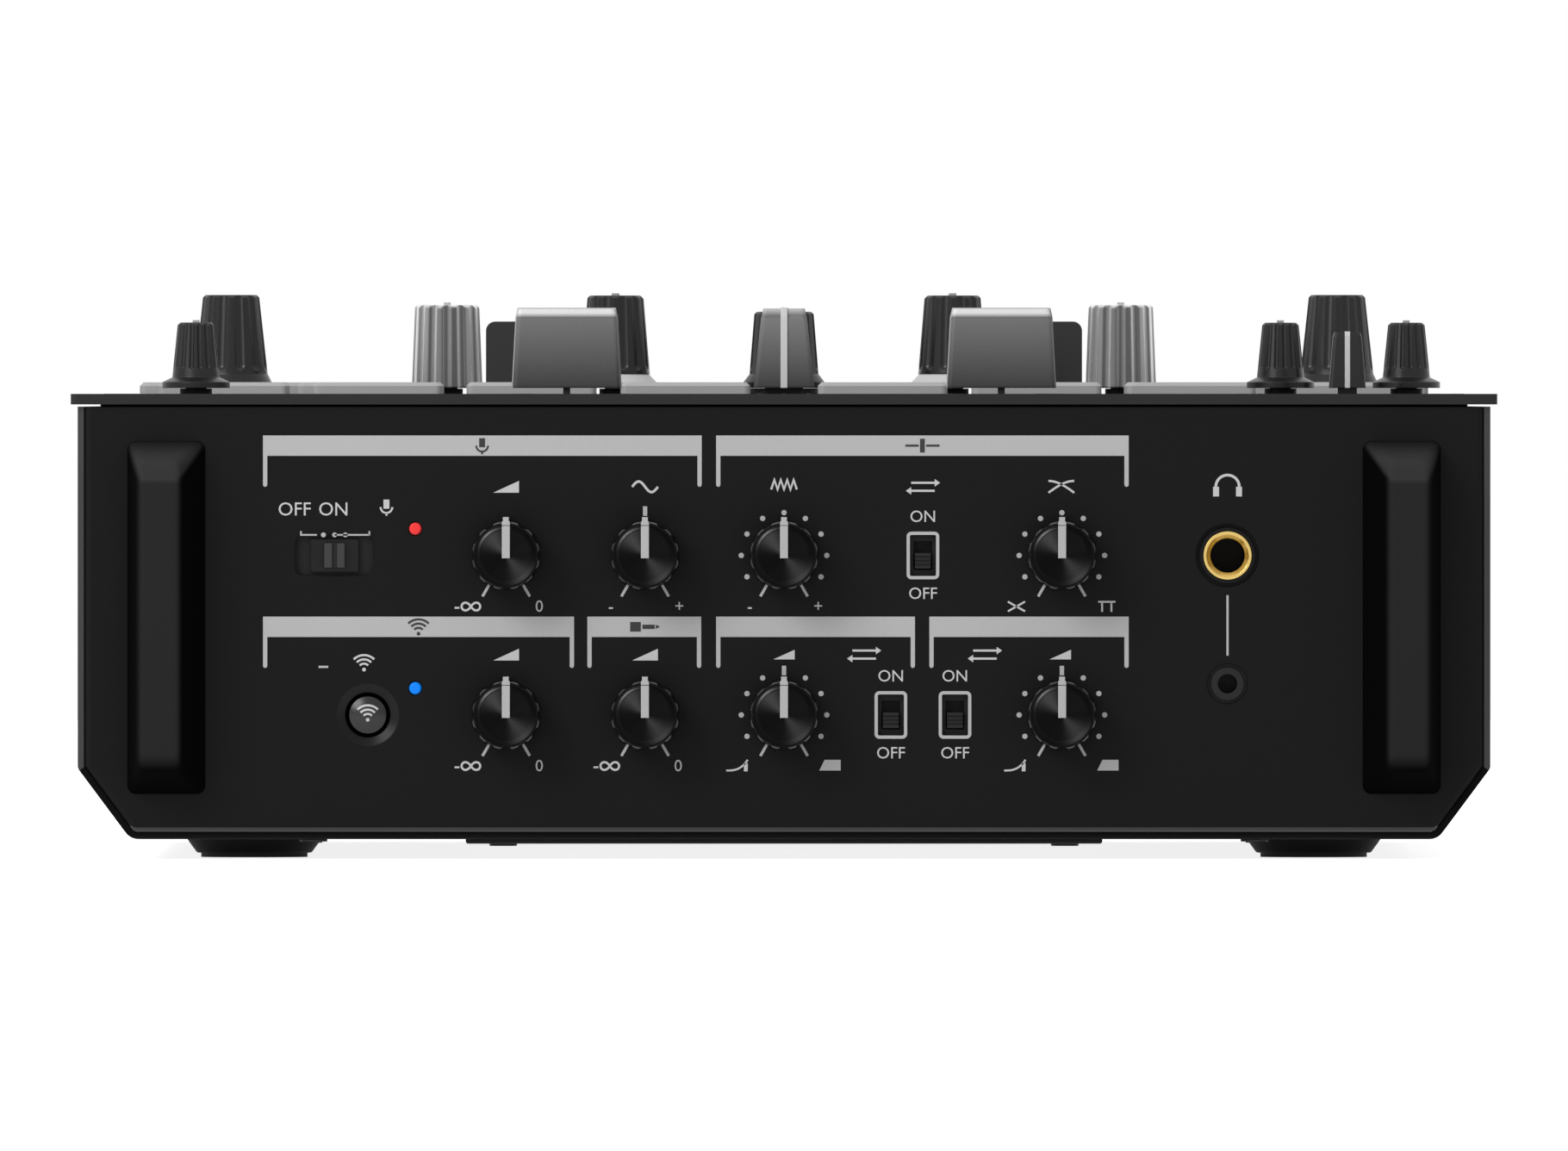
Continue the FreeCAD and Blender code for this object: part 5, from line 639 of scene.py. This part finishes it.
def plug_mark(x, z):
    return [bar(x - 2.6, x - 0.6, z - 0.9, z + 0.9), bar(x - 0.3, x + 2.0, z - 0.4, z + 0.4),
            [(x + 2.2, z - 0.4), (x + 3.0, z), (x + 2.2, z + 0.4)]]


def curve_low(x, z):
    points = [(x - 2.0 + 4.0 * i / 10, z - 1.0 + 2.0 * (i / 10) ** 3) for i in range(11)]
    return stroke(points, 0.35) + [bar(x + 1.3, x + 2.0, z - 1.15, z + 0.4)]


def curve_high(x, z):
    return [[(x - 2.0, z - 1.0), (x + 2.0, z - 1.0), (x + 2.0, z + 1.0), (x - 1.0, z + 1.0)]]


def gentle_cut(x, z):
    rising = stroke([(x - 1.6, z - 0.9), (x + 1.6, z + 0.9)], 0.35)
    return rising + stroke([(x - 1.6, z + 0.9), (x + 1.6, z - 0.9)], 0.35)


def sharp_cut(x, z):
    return [bar(x - 1.6, x + 1.6, z + 0.7, z + 1.05), bar(x - 1.05, x - 0.7, z - 1.0, z + 0.65),
            bar(x + 0.7, x + 1.05, z - 1.0, z + 0.65)]


pictures = []
for place in ((-52.0, 69.6), (-52.0, 38.2), (-26.0, 38.2)):
    pictures += wedge(*place)
pictures += sine_wave(-26.0, 69.6) + spring_feel(0.0, 70.0) + fade_curves(51.9, 69.6)
for place in ((26.0, 69.6), (15.0, 38.2), (37.6, 38.2)):
    pictures += opposite_arrows(*place)
pictures += headphones(83.0, 70.0) + radio_arcs(-78.6, 36.6) + microphone(-74.4, 65.8)
pictures += wedge(0.0, 38.2, half=2.0, rise=0.9) + wedge(51.7, 38.2, half=2.0, rise=0.9)
pictures += gentle_cut(43.5, 47.2) + sharp_cut(60.4, 47.2)
for x in (0.0, 52.0):
    pictures += curve_low(x - 8.8, 17.5) + curve_high(x + 8.6, 17.5)
inked("panel_pictures", pictures, ink_letter)
inked("bar_pictures", microphone(-56.5, 77.3) + slider_mark(25.9, 77.3) + radio_arcs(-68.4, 43.3)
      + plug_mark(-26.2, 43.4), ink_dark, lift=INK)
DOME_RISE, DOME_RADIUS = 0.5 * MM, 7.06 * MM
wireless = inked(
    "wireless_picture", radio_arcs(-77.9, 27.2), ink_letter, lift=DOME_RISE, body="pairing_button"
)
for vertex in wireless.data.vertices:
    reach = math.hypot(vertex.co.x - button_x, vertex.co.z - button_z)
    vertex.co.y += DOME_RADIUS - math.sqrt(DOME_RADIUS**2 - reach**2)


# The letters on the front panel: plain characters printed with the rest, ON and OFF by the switches
# and the signs at the two ends of a dial's range.
TYPE_SCALE, TYPE_STEPS, FINE_WELD = 1.55, 3, 0.001 * MM
UPRIGHT = Matrix.Rotation(math.radians(90), 4, "X")
words = [("OFF", -91.6, 65.3, 2.3), ("ON", -84.3, 65.3, 2.3)]
for x, row in ((26.0, ROW_ONE), (20.0, ROW_TWO), (32.0, ROW_TWO)):
    words += [("ON", x, row + 7.2, 2.0), ("OFF", x, row - 7.2, 2.0)]
for x, row in ((-52.0, ROW_ONE), (-52.0, ROW_TWO), (-26.0, ROW_TWO)):
    words += [("-", x - 9.2, row - 9.5, 2.4), ("∞", x - 6.6, row - 9.6, 3.0)]
    words.append(("0", x + 6.2, row - 9.6, 2.0))
for x in (-26.0, 0.0):
    words += [("-", x - 6.4, ROW_ONE - 9.6, 2.0), ("+", x + 6.4, ROW_ONE - 9.6, 2.0)]
letters = bmesh.new()
for text, x, z, height in words:
    type_curve = bpy.data.curves.new("type", "FONT")
    type_curve.body = text
    type_curve.align_x = type_curve.align_y = "CENTER"
    type_curve.size = height * TYPE_SCALE * MM
    type_curve.extrude = INK / 2
    type_curve.resolution_u = TYPE_STEPS
    holder = bpy.data.objects.new("type", type_curve)
    flat = bpy.data.meshes.new_from_object(holder)
    flat.transform(Matrix.Translation((x * MM, FRONT_FACE_Y - INK / 2, z * MM)) @ UPRIGHT)
    letters.from_mesh(flat)
    bpy.data.objects.remove(holder)
    bpy.data.curves.remove(type_curve)
    bpy.data.meshes.remove(flat)
bmesh.ops.remove_doubles(letters, verts=letters.verts, dist=FINE_WELD)
added("panel_letters", closed_mesh("panel_letters", letters), "chassis", ink_letter)


# The marks round the front dials: printed with the rest, an end tick each way on every dial and a
# ring of dots between them on the dials that shape a curve.
def dial_marks_tree():
    """Marks round every point of a mesh, in its XY plane: rings of dots, ticks or single tiles."""
    tree = bpy.data.node_groups.new("dial_marks", "GeometryNodeTree")
    face = tree.interface
    face.new_socket("Geometry", in_out="INPUT", socket_type="NodeSocketGeometry")
    for name in ("Count", "Sides"):
        face.new_socket(name, in_out="INPUT", socket_type="NodeSocketInt")
    for name in ("First", "Step", "Radius", "Width", "Length", "Height", "Unit Radius", "Turn"):
        face.new_socket(name, in_out="INPUT", socket_type="NodeSocketFloat")
    face.new_socket("Material", in_out="INPUT", socket_type="NodeSocketMaterial")
    face.new_socket("Geometry", in_out="OUTPUT", socket_type="NodeSocketGeometry")
    given = tree.nodes.new("NodeGroupInput").outputs

    def step(kind, **inputs):
        return new_node(tree, kind, **inputs).outputs[0]

    def vector(**parts):
        return step("ShaderNodeCombineXYZ", **parts)

    angle = math_step(tree, "MULTIPLY_ADD", step("GeometryNodeInputIndex"), given["Step"], given["First"])
    across, along = (
        math_step(tree, "MULTIPLY", math_step(tree, part, angle), given["Radius"])
        for part in ("SINE", "COSINE")
    )
    spots = step("GeometryNodePoints", Count=given["Count"], Position=vector(X=across, Y=along))
    mark = step("GeometryNodeMeshCylinder", Vertices=given["Sides"], Radius=given["Unit Radius"], Depth=1.0)
    turned = step("GeometryNodeTransform", Geometry=mark, Rotation=vector(Z=given["Turn"]))
    size = vector(X=given["Width"], Y=given["Length"], Z=given["Height"])
    rise = vector(Z=math_step(tree, "MULTIPLY", given["Height"], 0.5))
    sized = step("GeometryNodeTransform", Geometry=turned, Scale=size, Translation=rise)
    facing = vector(Z=math_step(tree, "MULTIPLY", angle, -1.0))
    ring = step("GeometryNodeInstanceOnPoints", Points=spots, Instance=sized, Rotation=facing)
    rings = step("GeometryNodeInstanceOnPoints", Points=given["Geometry"], Instance=ring)
    solid = step("GeometryNodeRealizeInstances", Geometry=rings)
    coloured = step("GeometryNodeSetMaterial", Geometry=solid, Material=given["Material"])
    new_node(tree, "NodeGroupOutput", Geometry=coloured)
    return tree


DIAL_MARKS = dial_marks_tree()
ROUND = {"Sides": 16, "Unit Radius": 0.5, "Turn": 0.0}
SQUARE = {"Sides": 4, "Unit Radius": math.sqrt(0.5), "Turn": math.radians(45)}
HEXAGON = {"Sides": 6, "Unit Radius": 0.5, "Turn": 0.0}


def marked(name, centres, form, material, slot, place, **sizes):
    """One mesh of marks about the centres, given in millimetres in the marks' own plane."""
    seeds = bpy.data.meshes.new(name + "_seeds")
    seeds.from_pydata([(x * MM, y * MM, 0) for x, y in centres], [], [])
    holder = bpy.data.objects.new(name + "_seeds", seeds)
    bpy.context.collection.objects.link(holder)
    modifier = holder.modifiers.new("marks", "NODES")
    modifier.node_group = DIAL_MARKS
    values = {"Count": 1, "First": 0.0, "Step": 0.0, "Radius": 0.0, "Height": INK, **form, **sizes}
    values["Material"] = material
    for item in DIAL_MARKS.interface.items_tree:
        if item.in_out == "INPUT" and item.name in values:
            modifier[item.identifier] = values[item.name]
    shown = holder.evaluated_get(bpy.context.evaluated_depsgraph_get())
    mesh = bpy.data.meshes.new_from_object(shown)
    mesh.transform(place)
    mesh.name = name
    bpy.data.objects.remove(holder)
    added(name, mesh, "chassis")


ON_FRONT = Matrix.Translation((0, FRONT_FACE_Y, 0)) @ UPRIGHT
DIAL_END, DOT_STEP, DOT_RADIUS = math.radians(150), math.radians(30), 8.0 * MM
DOT = {**ROUND, "Width": 1.0 * MM, "Length": 1.0 * MM}
dials = [(x / MM, z / MM) for x, y, z in (joint_of(node)["pos_m"] for node in FRONT_KNOBS)]
shaping = [(x, z) for x, z in dials if x > -1]
upper_shaping = [(x, z) for x, z in shaping if z > ROW_TWO + 1]
topped = [(-26.0, ROW_ONE)] + [(x, z) for x, z in shaping if z < ROW_TWO + 1]
marked(
    "dial_end_ticks", dials, SQUARE, ink_pale, "case_black", ON_FRONT,
    Count=2, First=-DIAL_END, Step=2 * DIAL_END, Radius=7.6 * MM, Width=0.5 * MM, Length=2.5 * MM,
)
for name, first in (("dial_dots_left", -4 * DOT_STEP), ("dial_dots_right", DOT_STEP)):
    marked(
        name, shaping, DOT, ink_pale, "case_black", ON_FRONT,
        Count=4, First=first, Step=DOT_STEP, Radius=DOT_RADIUS,
    )
marked("dial_top_dots", upper_shaping, DOT, ink_pale, "case_black", ON_FRONT, Radius=DOT_RADIUS)
marked(
    "dial_top_ticks", topped, SQUARE, ink_pale, "case_black", ON_FRONT,
    Radius=8.3 * MM, Width=0.8 * MM, Length=1.8 * MM,
)

# The plate knobs: tall fluted grips pushed on shafts. The tone knobs stand on pale translucent
# skirts, and the filter knobs are turned from bright metal whose bright edges are a painted reflection.
SMALL_KNOBS = ("sampler_volume_knob", "phones_level_knob", "booth_level_knob")
FILTER_KNOBS = ("channel_one_filter_knob", "channel_two_filter_knob")
TONE_KNOBS = [f"channel_{side}_{band}_knob" for side in ("one", "two") for band in ("low", "mid", "high")]
EFFECT_KNOB = "effect_depth_knob"
LINE_HALF, LINE_START, LINE_DEPTH, SKIRT_HEIGHT = 0.65 * MM, 1.5 * MM, 1.45 * MM, 3.8 * MM
plate_knob_black = finish("plate_knob_black", grey(0.006), 0.3, specular=0.33, bump=0.02)
skirt_pale = finish("skirt_pale", grey(0.58), 0.45, contrast=0.04)


def silver_painted_edge_glint():
    """Bright metal with a painted reflection: its colour is dark where it faces the eye and bright where it turns
    away.
    """
    made = finish(
        "filter_silver", grey(0.3), 0.34, metallic=1.0, grain=900, contrast=0.03, bump=0.0, edge=0.5
    )
    tree = made.node_tree
    rounding = node_of(made, "BEVEL")
    rounding.samples = 2 * EDGE_SAMPLES
    # Painted reflection: the base colour brightens where the surface turns away from the eye.
    away = new_node(tree, "ShaderNodeLayerWeight", Blend=0.8, Normal=rounding.outputs["Normal"])
    steep = math_step(tree, "POWER", away.outputs["Facing"], 2.0)
    tone = mixed(tree, steep, (0.12, 0.12, 0.122), (0.95, 0.95, 0.955))
    plug(node_of(made, "GROUP"), {"Color": tone})
    return made


def dress_knob(node, material, *others):
    """Dresses a plate knob, with its white pointer from near the axis to the far edge of its top."""
    dress(node, material, pointer_white, *others)
    x, y, z = joint_of(node)["pos_m"]
    low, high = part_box(node)
    near_end = (x - LINE_HALF, y + LINE_START, high[2] - LINE_DEPTH)
    paint_inside(node, near_end, (x + LINE_HALF, high[1], high[2]), 1)


filter_silver = silver_painted_edge_glint()
for node in (*SMALL_KNOBS, EFFECT_KNOB):
    dress_knob(node, plate_knob_black)
for node in ("left_browse_encoder", "right_browse_encoder"):
    dress(node, plate_knob_black)
for node in FILTER_KNOBS:
    dress_knob(node, filter_silver)
for node in TONE_KNOBS:
    dress_knob(node, plate_knob_black, skirt_pale)
    low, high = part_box(node)
    paint_inside(node, (low[0], low[1], PLATE_TOP), (high[0], high[1], PLATE_TOP + SKIRT_HEIGHT), 2)


# The collar of the effect knob: a turned black washer that lies on the plate about the shaft and
# fills the gap under the knob's skirt. It stays where it is when the knob turns.
def lathe(work, middle, profile, sides, phase=0.0, upright=False):
    """Turns a profile of (radius, place along the axis) about an axis along Y, or Z if upright."""
    loops = []
    for radius, along in profile:
        loop = []
        for side in range(sides):
            turn = 2 * math.pi * (side + phase) / sides
            across, aside = middle[0] + radius * math.cos(turn), middle[1] + radius * math.sin(turn)
            loop.append(work.verts.new((across, aside, along) if upright else (across, along, aside)))
        loops.append(loop)
    for near, far in zip(loops, loops[1:]):
        for side in range(sides):
            after = (side + 1) % sides
            work.faces.new((near[side], near[after], far[after], far[side]))
    if profile[0] != profile[-1]:
        work.faces.new(loops[0])
        work.faces.new(reversed(loops[-1]))


COLLAR_INNER, COLLAR_OUTER, COLLAR_CHAMFER, COLLAR_SIDES = 4.2 * MM, 6.5 * MM, 0.1 * MM, 64
COLLAR_CLEARANCE = 0.03 * MM
knob_x, knob_y = joint_of(EFFECT_KNOB)["pos_m"][:2]
skirt_under = min(
    vertex.co.z for vertex in frame["nodes"][EFFECT_KNOB].data.vertices
    if math.hypot(vertex.co.x - knob_x, vertex.co.y - knob_y) > COLLAR_INNER
)
COLLAR_TOP = skirt_under - COLLAR_CLEARANCE
collar_work = bmesh.new()
lathe(collar_work, (knob_x, knob_y), [
    (COLLAR_INNER, PLATE_TOP), (COLLAR_OUTER, PLATE_TOP), (COLLAR_OUTER, COLLAR_TOP - COLLAR_CHAMFER),
    (COLLAR_OUTER - COLLAR_CHAMFER, COLLAR_TOP), (COLLAR_INNER, COLLAR_TOP), (COLLAR_INNER, PLATE_TOP),
], COLLAR_SIDES, upright=True)
bmesh.ops.remove_doubles(collar_work, verts=collar_work.verts, dist=FINE_WELD)
added("effect_collar", closed_mesh("effect_collar", collar_work), "chassis", plate_black)

# The faders: moulded grey caps with a pale line let into them, pushed on steel blades that run in
# slotted tracks under the plate. The caps carry painted shade, darker towards the plate, and their
# bevelled upper edges carry a painted highlight.
FADERS = ("channel_one_fader", "channel_two_fader")
FADER_BEVEL, CROSS_BEVEL, MIX_LINE_HALF = 2 * MM, 1.5 * MM, 0.5 * MM
GLINT_LOW, GLINT_HIGH, CROSS_GLINT = 1.8 * MM, 1 * MM, 0.5 * MM
CAP_TOP, CROSS_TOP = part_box("channel_one_fader")[1][2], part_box("crossfader")[1][2]
# Painted shade: the caps are painted darker towards the plate and lighter towards the top.
fader_grey = fading_finish("fader_grey", grey(0.03), grey(0.18), PLATE_TOP + MM, CAP_TOP - FADER_BEVEL)
# Painted highlight on the channel faders' top bevels, brightest near the top.
bevel_bright = fading_finish(
    "bevel_bright", grey(0.15), grey(0.85), CAP_TOP - GLINT_LOW, CAP_TOP - GLINT_HIGH
)
# Painted highlight on the crossfader's upper bevel, brightest near the top.
cap_edge = fading_finish(
    "cap_edge", grey(0.14), grey(0.45), CROSS_TOP - CROSS_BEVEL, CROSS_TOP - CROSS_GLINT
)
line_white = finish("line_white", grey(0.6), 0.4, specular=0.3, contrast=0.03)
for node in FADERS:
    dress(node, fader_grey, line_white, bevel_bright)
    low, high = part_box(node)
    bevel_low, line_y = high[2] - FADER_BEVEL, (low[1] + high[1]) / 2
    # The bevel faces under the cap's top take the painted highlight.
    paint_where(node, 2, lambda middle, normal: middle.z > bevel_low and normal.z < 0.7)
    paint_inside(node, (low[0], line_y - LINE_HALF, PLATE_TOP), (high[0], line_y + LINE_HALF, high[2]), 1)
dress("crossfader", fader_grey, line_white, cap_edge)
# The crossfader's upper bevel faces take the painted highlight.
paint_where("crossfader", 2, lambda middle, normal: (
    middle.z > CROSS_TOP - CROSS_BEVEL and 0.2 < normal.z < 0.97
))
dress("phones_mix_slider", plate_knob_black, line_white)
for node, half in (("crossfader", LINE_HALF), ("phones_mix_slider", MIX_LINE_HALF)):
    low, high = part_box(node)
    line_x = (low[0] + high[0]) / 2
    paint_inside(node, (line_x - half, low[1], PLATE_TOP), (line_x + half, high[1], high[2]), 1)

# The paddles: black moulded blades that stand through slots in the plate and rock on trunnions in
# tabs bent down from it, sprung back to the middle.
paddle_black = finish("paddle_black", grey(0.028), 0.45, specular=0.35)
for node in ("left_effect_paddle", "right_effect_paddle"):
    dress(node, paddle_black)

# The pads, keys and meter: pale silicone mats that lie under the plate with their keys standing
# through its windows, and a smoked plastic strip let into the plate between the channels.
pad_silicone = finish("pad_silicone", grey(0.4), 0.6, grain=3000, bump=0.2)
meter_smoke = finish("meter_smoke", (0.006, 0.006, 0.007), 0.08, specular=0.6, edge=0)
dress("pad_mats", pad_silicone)
dress("level_meter", meter_smoke)

# The rear sockets: nickel plated line sockets, black moulded output sockets, computer sockets, and
# the mains inlet with its rocker switch, all set in cut-outs of the rear panel.
nickel = finish("nickel", (0.44, 0.425, 0.4), 0.26, metallic=1.0, grain=700, contrast=0.06, bump=0.03)
for node in ("phono_sockets", "usb_sockets"):
    dress(node, nickel)
for node in ("output_jacks", "mains_inlet"):
    dress(node, socket_black)
dress("power_switch", switch_black)

mounts = {mount["name"]: mount["pos_m"] for mount in frame["record"]["mounts"]}


def rear_piece(name, parts, material):
    """Small solids of the rear sockets in one mesh: each part is a list of (radius, y) about (x, z)."""
    work = bmesh.new()
    for middle, profile, sides in parts:
        lathe(work, middle, profile, sides, phase=0.5)
    bmesh.ops.remove_doubles(work, verts=work.verts, dist=FINE_WELD)
    added(name, closed_mesh(name, work), "chassis", material)


def ring_profile(inner, outer, y_low, y_high):
    return [(inner, y_low), (outer, y_low), (outer, y_high), (inner, y_high), (inner, y_low)]


def pin_profile(radius, y_low, y_high):
    tip = [(radius * 0.7, y_high - 0.3 * radius), (radius * 0.2, y_high)]
    return [(radius, y_low), (radius, y_high - radius)] + tip


CORE_INNER, CORE_OUTER, CORE_DEPTH, CORE_PROUD = 1.7 * MM, 3.3 * MM, 0.2 * MM, 0.005 * MM
line_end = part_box("phono_sockets")[1][1]
core_white = finish("core_white", (0.6, 0.6, 0.58), 0.45, contrast=0.04, edge=0)
core_red = finish("core_red", (0.45, 0.02, 0.02), 0.45, contrast=0.06, edge=0)
core = ring_profile(CORE_INNER, CORE_OUTER, line_end - CORE_DEPTH, line_end + CORE_PROUD)
for name, material, row in (
    ("line_cores_upper", core_white, (5, 6, 7, 8)), ("line_cores_lower", core_red, (1, 2, 3, 4)),
):
    places = [(mounts[f"line_socket_{i}"][0], mounts[f"line_socket_{i}"][2]) for i in row]
    rear_piece(name, [(place, core, 24) for place in places], material)
OUTPUT_DEPTH, PIN_LENGTH, PIN_RADIUS, PIN_CIRCLE = 7 * MM, 10 * MM, 1.2 * MM, 5.2 * MM
output_floor = mounts["master_socket_1"][1] - OUTPUT_DEPTH
pin = pin_profile(PIN_RADIUS, output_floor, output_floor + PIN_LENGTH)
pins = []
for i in (1, 2):
    x, y, z = mounts[f"master_socket_{i}"]
    for turn in (math.radians(angle) for angle in (210, 330, 90)):
        pins.append(((x + PIN_CIRCLE * math.cos(turn), z + PIN_CIRCLE * math.sin(turn)), pin, 16))
INLET_DEPTH, BLADE_LENGTH, BLADE_RADIUS, INLET_X = 17 * MM, 13 * MM, 1.9 * MM, -98 * MM
inlet_low, inlet_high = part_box("mains_inlet")
inlet_z = (inlet_low[2] + inlet_high[2]) / 2
inlet_floor = inlet_high[1] - INLET_DEPTH
blade = pin_profile(BLADE_RADIUS, inlet_floor, inlet_floor + BLADE_LENGTH)
for offset_x, offset_z in ((-7 * MM, -2 * MM), (7 * MM, -2 * MM), (0.0, 3 * MM)):
    pins.append(((INLET_X + offset_x, inlet_z + offset_z), blade, 8))
rear_piece("contact_pins", pins, nickel)
usb_low, usb_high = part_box("usb_sockets")
usb_z, usb_end = (usb_low[2] + usb_high[2]) / 2, usb_high[1]
USB_INSET, TONGUE_HALF, TIP_HALF = 7 * MM, 2.6 * MM, 2.2 * MM
TONGUE_BACK, TONGUE_BEND, TONGUE_TIP = 10 * MM, 2.4 * MM, 2 * MM
tongue = [
    (TONGUE_HALF, usb_end - TONGUE_BACK), (TONGUE_HALF, usb_end - TONGUE_BEND),
    (TIP_HALF, usb_end - TONGUE_TIP),
]
tongues = [((middle, usb_z), tongue, 4) for middle in (usb_low[0] + USB_INSET, usb_high[0] - USB_INSET)]
rear_piece("socket_tongues", tongues, core_white)

# The print on the top plate: a ring of ticks round each knob, ladders beside the fader slots,
# unlit segments on the meter strip, and dark hexagons painted as the shade in the flush screws' sockets.
ON_PLATE = Matrix.Translation((0, 0, PLATE_TOP))
PLATE_INK, RUNG_PITCH, RUNG_ASIDE, CROSS_ASIDE = 0.03 * MM, 4.5, 9, 13
SEGMENT_PITCH, SEGMENT_ASIDE, SEGMENT_START = 4.8, 3.6, 6
plate_ink = finish("plate_ink", grey(0.35), 0.6, contrast=0.08, edge=0)


def on_plate(name, centres, width, length, form=SQUARE, material=plate_ink, slot="plate_black", **ring):
    """Thin marks on the plate, with their widths and lengths in millimetres."""
    marked(
        name, centres, form, material, slot, ON_PLATE,
        Width=width * MM, Length=length * MM, Height=PLATE_INK, **ring,
    )


for name, radius, knobs in (
    ("tone_ticks", 9.4, TONE_KNOBS), ("filter_ticks", 8.6, FILTER_KNOBS),
    ("small_ticks", 8.2, SMALL_KNOBS), ("effect_ticks", 9.4, [EFFECT_KNOB]),
):
    centres = [(x / MM, y / MM) for x, y, z in (joint_of(knob)["pos_m"] for knob in knobs)]
    on_plate(name, centres, 0.4, 1.4, Count=11, First=-DIAL_END, Step=DOT_STEP, Radius=radius * MM)
rungs = []
for node in FADERS:
    low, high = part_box(node)
    x, y = (low[0] + high[0]) / 2 / MM, (low[1] + high[1]) / 2 / MM
    rungs += [(x + side * RUNG_ASIDE, y + RUNG_PITCH * step) for side in (-1, 1) for step in range(11)]
on_plate("fader_rungs", rungs, 5, 0.4)
low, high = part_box("crossfader")
cross_y = (low[1] + high[1]) / 2 / MM
strokes = [(RUNG_PITCH * step, cross_y + side * CROSS_ASIDE) for side in (-1, 1) for step in range(-5, 6)]
on_plate("cross_rungs", strokes, 0.4, 3)
first_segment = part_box("level_meter")[0][1] / MM + SEGMENT_START
segments = [
    (side * SEGMENT_ASIDE, first_segment + SEGMENT_PITCH * step) for side in (-1, 1) for step in range(16)
]
segment_grey = finish("segment_grey", (0.09, 0.1, 0.09), 0.3, edge=0)
on_plate("meter_segments", segments, 4.6, 2.6, material=segment_grey, slot="meter_smoke")
SCREW_X, SCREW_PITCH, FIRST_SCREW = 126.3, 113.1667, FRONT_FACE_Y / MM + 24
heads = [(side * SCREW_X, FIRST_SCREW + SCREW_PITCH * step) for side in (-1, 1) for step in range(4)]
# Painted shade: flat dark hexagons stand for the shade in the flush screws' sockets.
on_plate("screw_sockets", heads, 2.4, 2.4, form=HEXAGON, material=housing_black, slot="screw_steel")

# The set: a pale floor that keeps the object's shadow, soft lamps, a white surround and a camera
# square to the front panel with a long lens.
FLOOR_Z, FLOOR_HALF, FLOOR_FRONT, FLOOR_BACK, FLOOR_GLOW = -0.0001, 4, -9, 4, 0.85
floor_mesh = bpy.data.meshes.new("floor")
floor_mesh.from_pydata([
    (-FLOOR_HALF, FLOOR_FRONT, FLOOR_Z), (FLOOR_HALF, FLOOR_FRONT, FLOOR_Z),
    (FLOOR_HALF, FLOOR_BACK, FLOOR_Z), (-FLOOR_HALF, FLOOR_BACK, FLOOR_Z),
], [], [(0, 1, 2, 3)])
floor = bpy.data.objects.new("floor", floor_mesh)
bpy.context.collection.objects.link(floor)
floor_pale = finish("floor_pale", grey(0.85), 0.9, specular=0.1, contrast=0.01, edge=0)


def seen_rays(tree):
    """One for the rays of the camera and of mirror and glass surfaces, nought for the rest."""
    path = tree.nodes.new("ShaderNodeLightPath").outputs
    seen = path["Is Camera Ray"]
    for name in ("Is Glossy Ray", "Is Transmission Ray"):
        seen = math_step(tree, "MAXIMUM", seen, path[name])
    return seen


plug(node_of(floor_pale, "BSDF_PRINCIPLED"), {
    "Emission Color": seen_rays(floor_pale.node_tree), "Emission Strength": FLOOR_GLOW,
})
floor_mesh.materials.append(floor_pale)

SURROUND_LIGHT, SURROUND_SEEN = 0.5, 1.0
world = bpy.data.worlds.new("white_surround")
world.use_nodes = True
bpy.context.scene.world = world
tree = world.node_tree
level = new_node(tree, "ShaderNodeMapRange", {
    "Value": seen_rays(tree), "To Min": SURROUND_LIGHT, "To Max": SURROUND_SEEN,
})
plug(tree.nodes["Background"], {"Color": grey(1), "Strength": level.outputs["Result"]})


def soft_lamp(name, place, aim, size, power):
    lamp = bpy.data.lights.new(name, "AREA")
    lamp.size = size
    lamp.energy = power
    holder = bpy.data.objects.new(name, lamp)
    holder.location = place
    holder.rotation_euler = (Vector(aim) - Vector(place)).to_track_quat("-Z", "Y").to_euler()
    bpy.context.collection.objects.link(holder)


soft_lamp("overhead", place=(0.0, 0.1, 1.4), aim=(0, 0, 0.08), size=1.2, power=4)
soft_lamp("front_left", place=(-0.9, -1.3, 0.9), aim=(0, -0.15, 0.05), size=0.8, power=16)

DISTANCE, EYE_HEIGHT, AIM_HEIGHT = 9.7812, PLATE_TOP, 0.053
lens = bpy.data.cameras.new("front_view")
lens.lens = 1200
lens.sensor_width = 36
lens.clip_end = 40
camera = bpy.data.objects.new("front_view", lens)
camera.location = (0, FRONT_FACE_Y - DISTANCE, EYE_HEIGHT)
camera.rotation_euler = (math.radians(90) - math.atan((EYE_HEIGHT - AIM_HEIGHT) / DISTANCE), 0, 0)
bpy.context.collection.objects.link(camera)
bpy.context.scene.camera = camera
bpy.context.scene.view_settings.view_transform = "Standard"
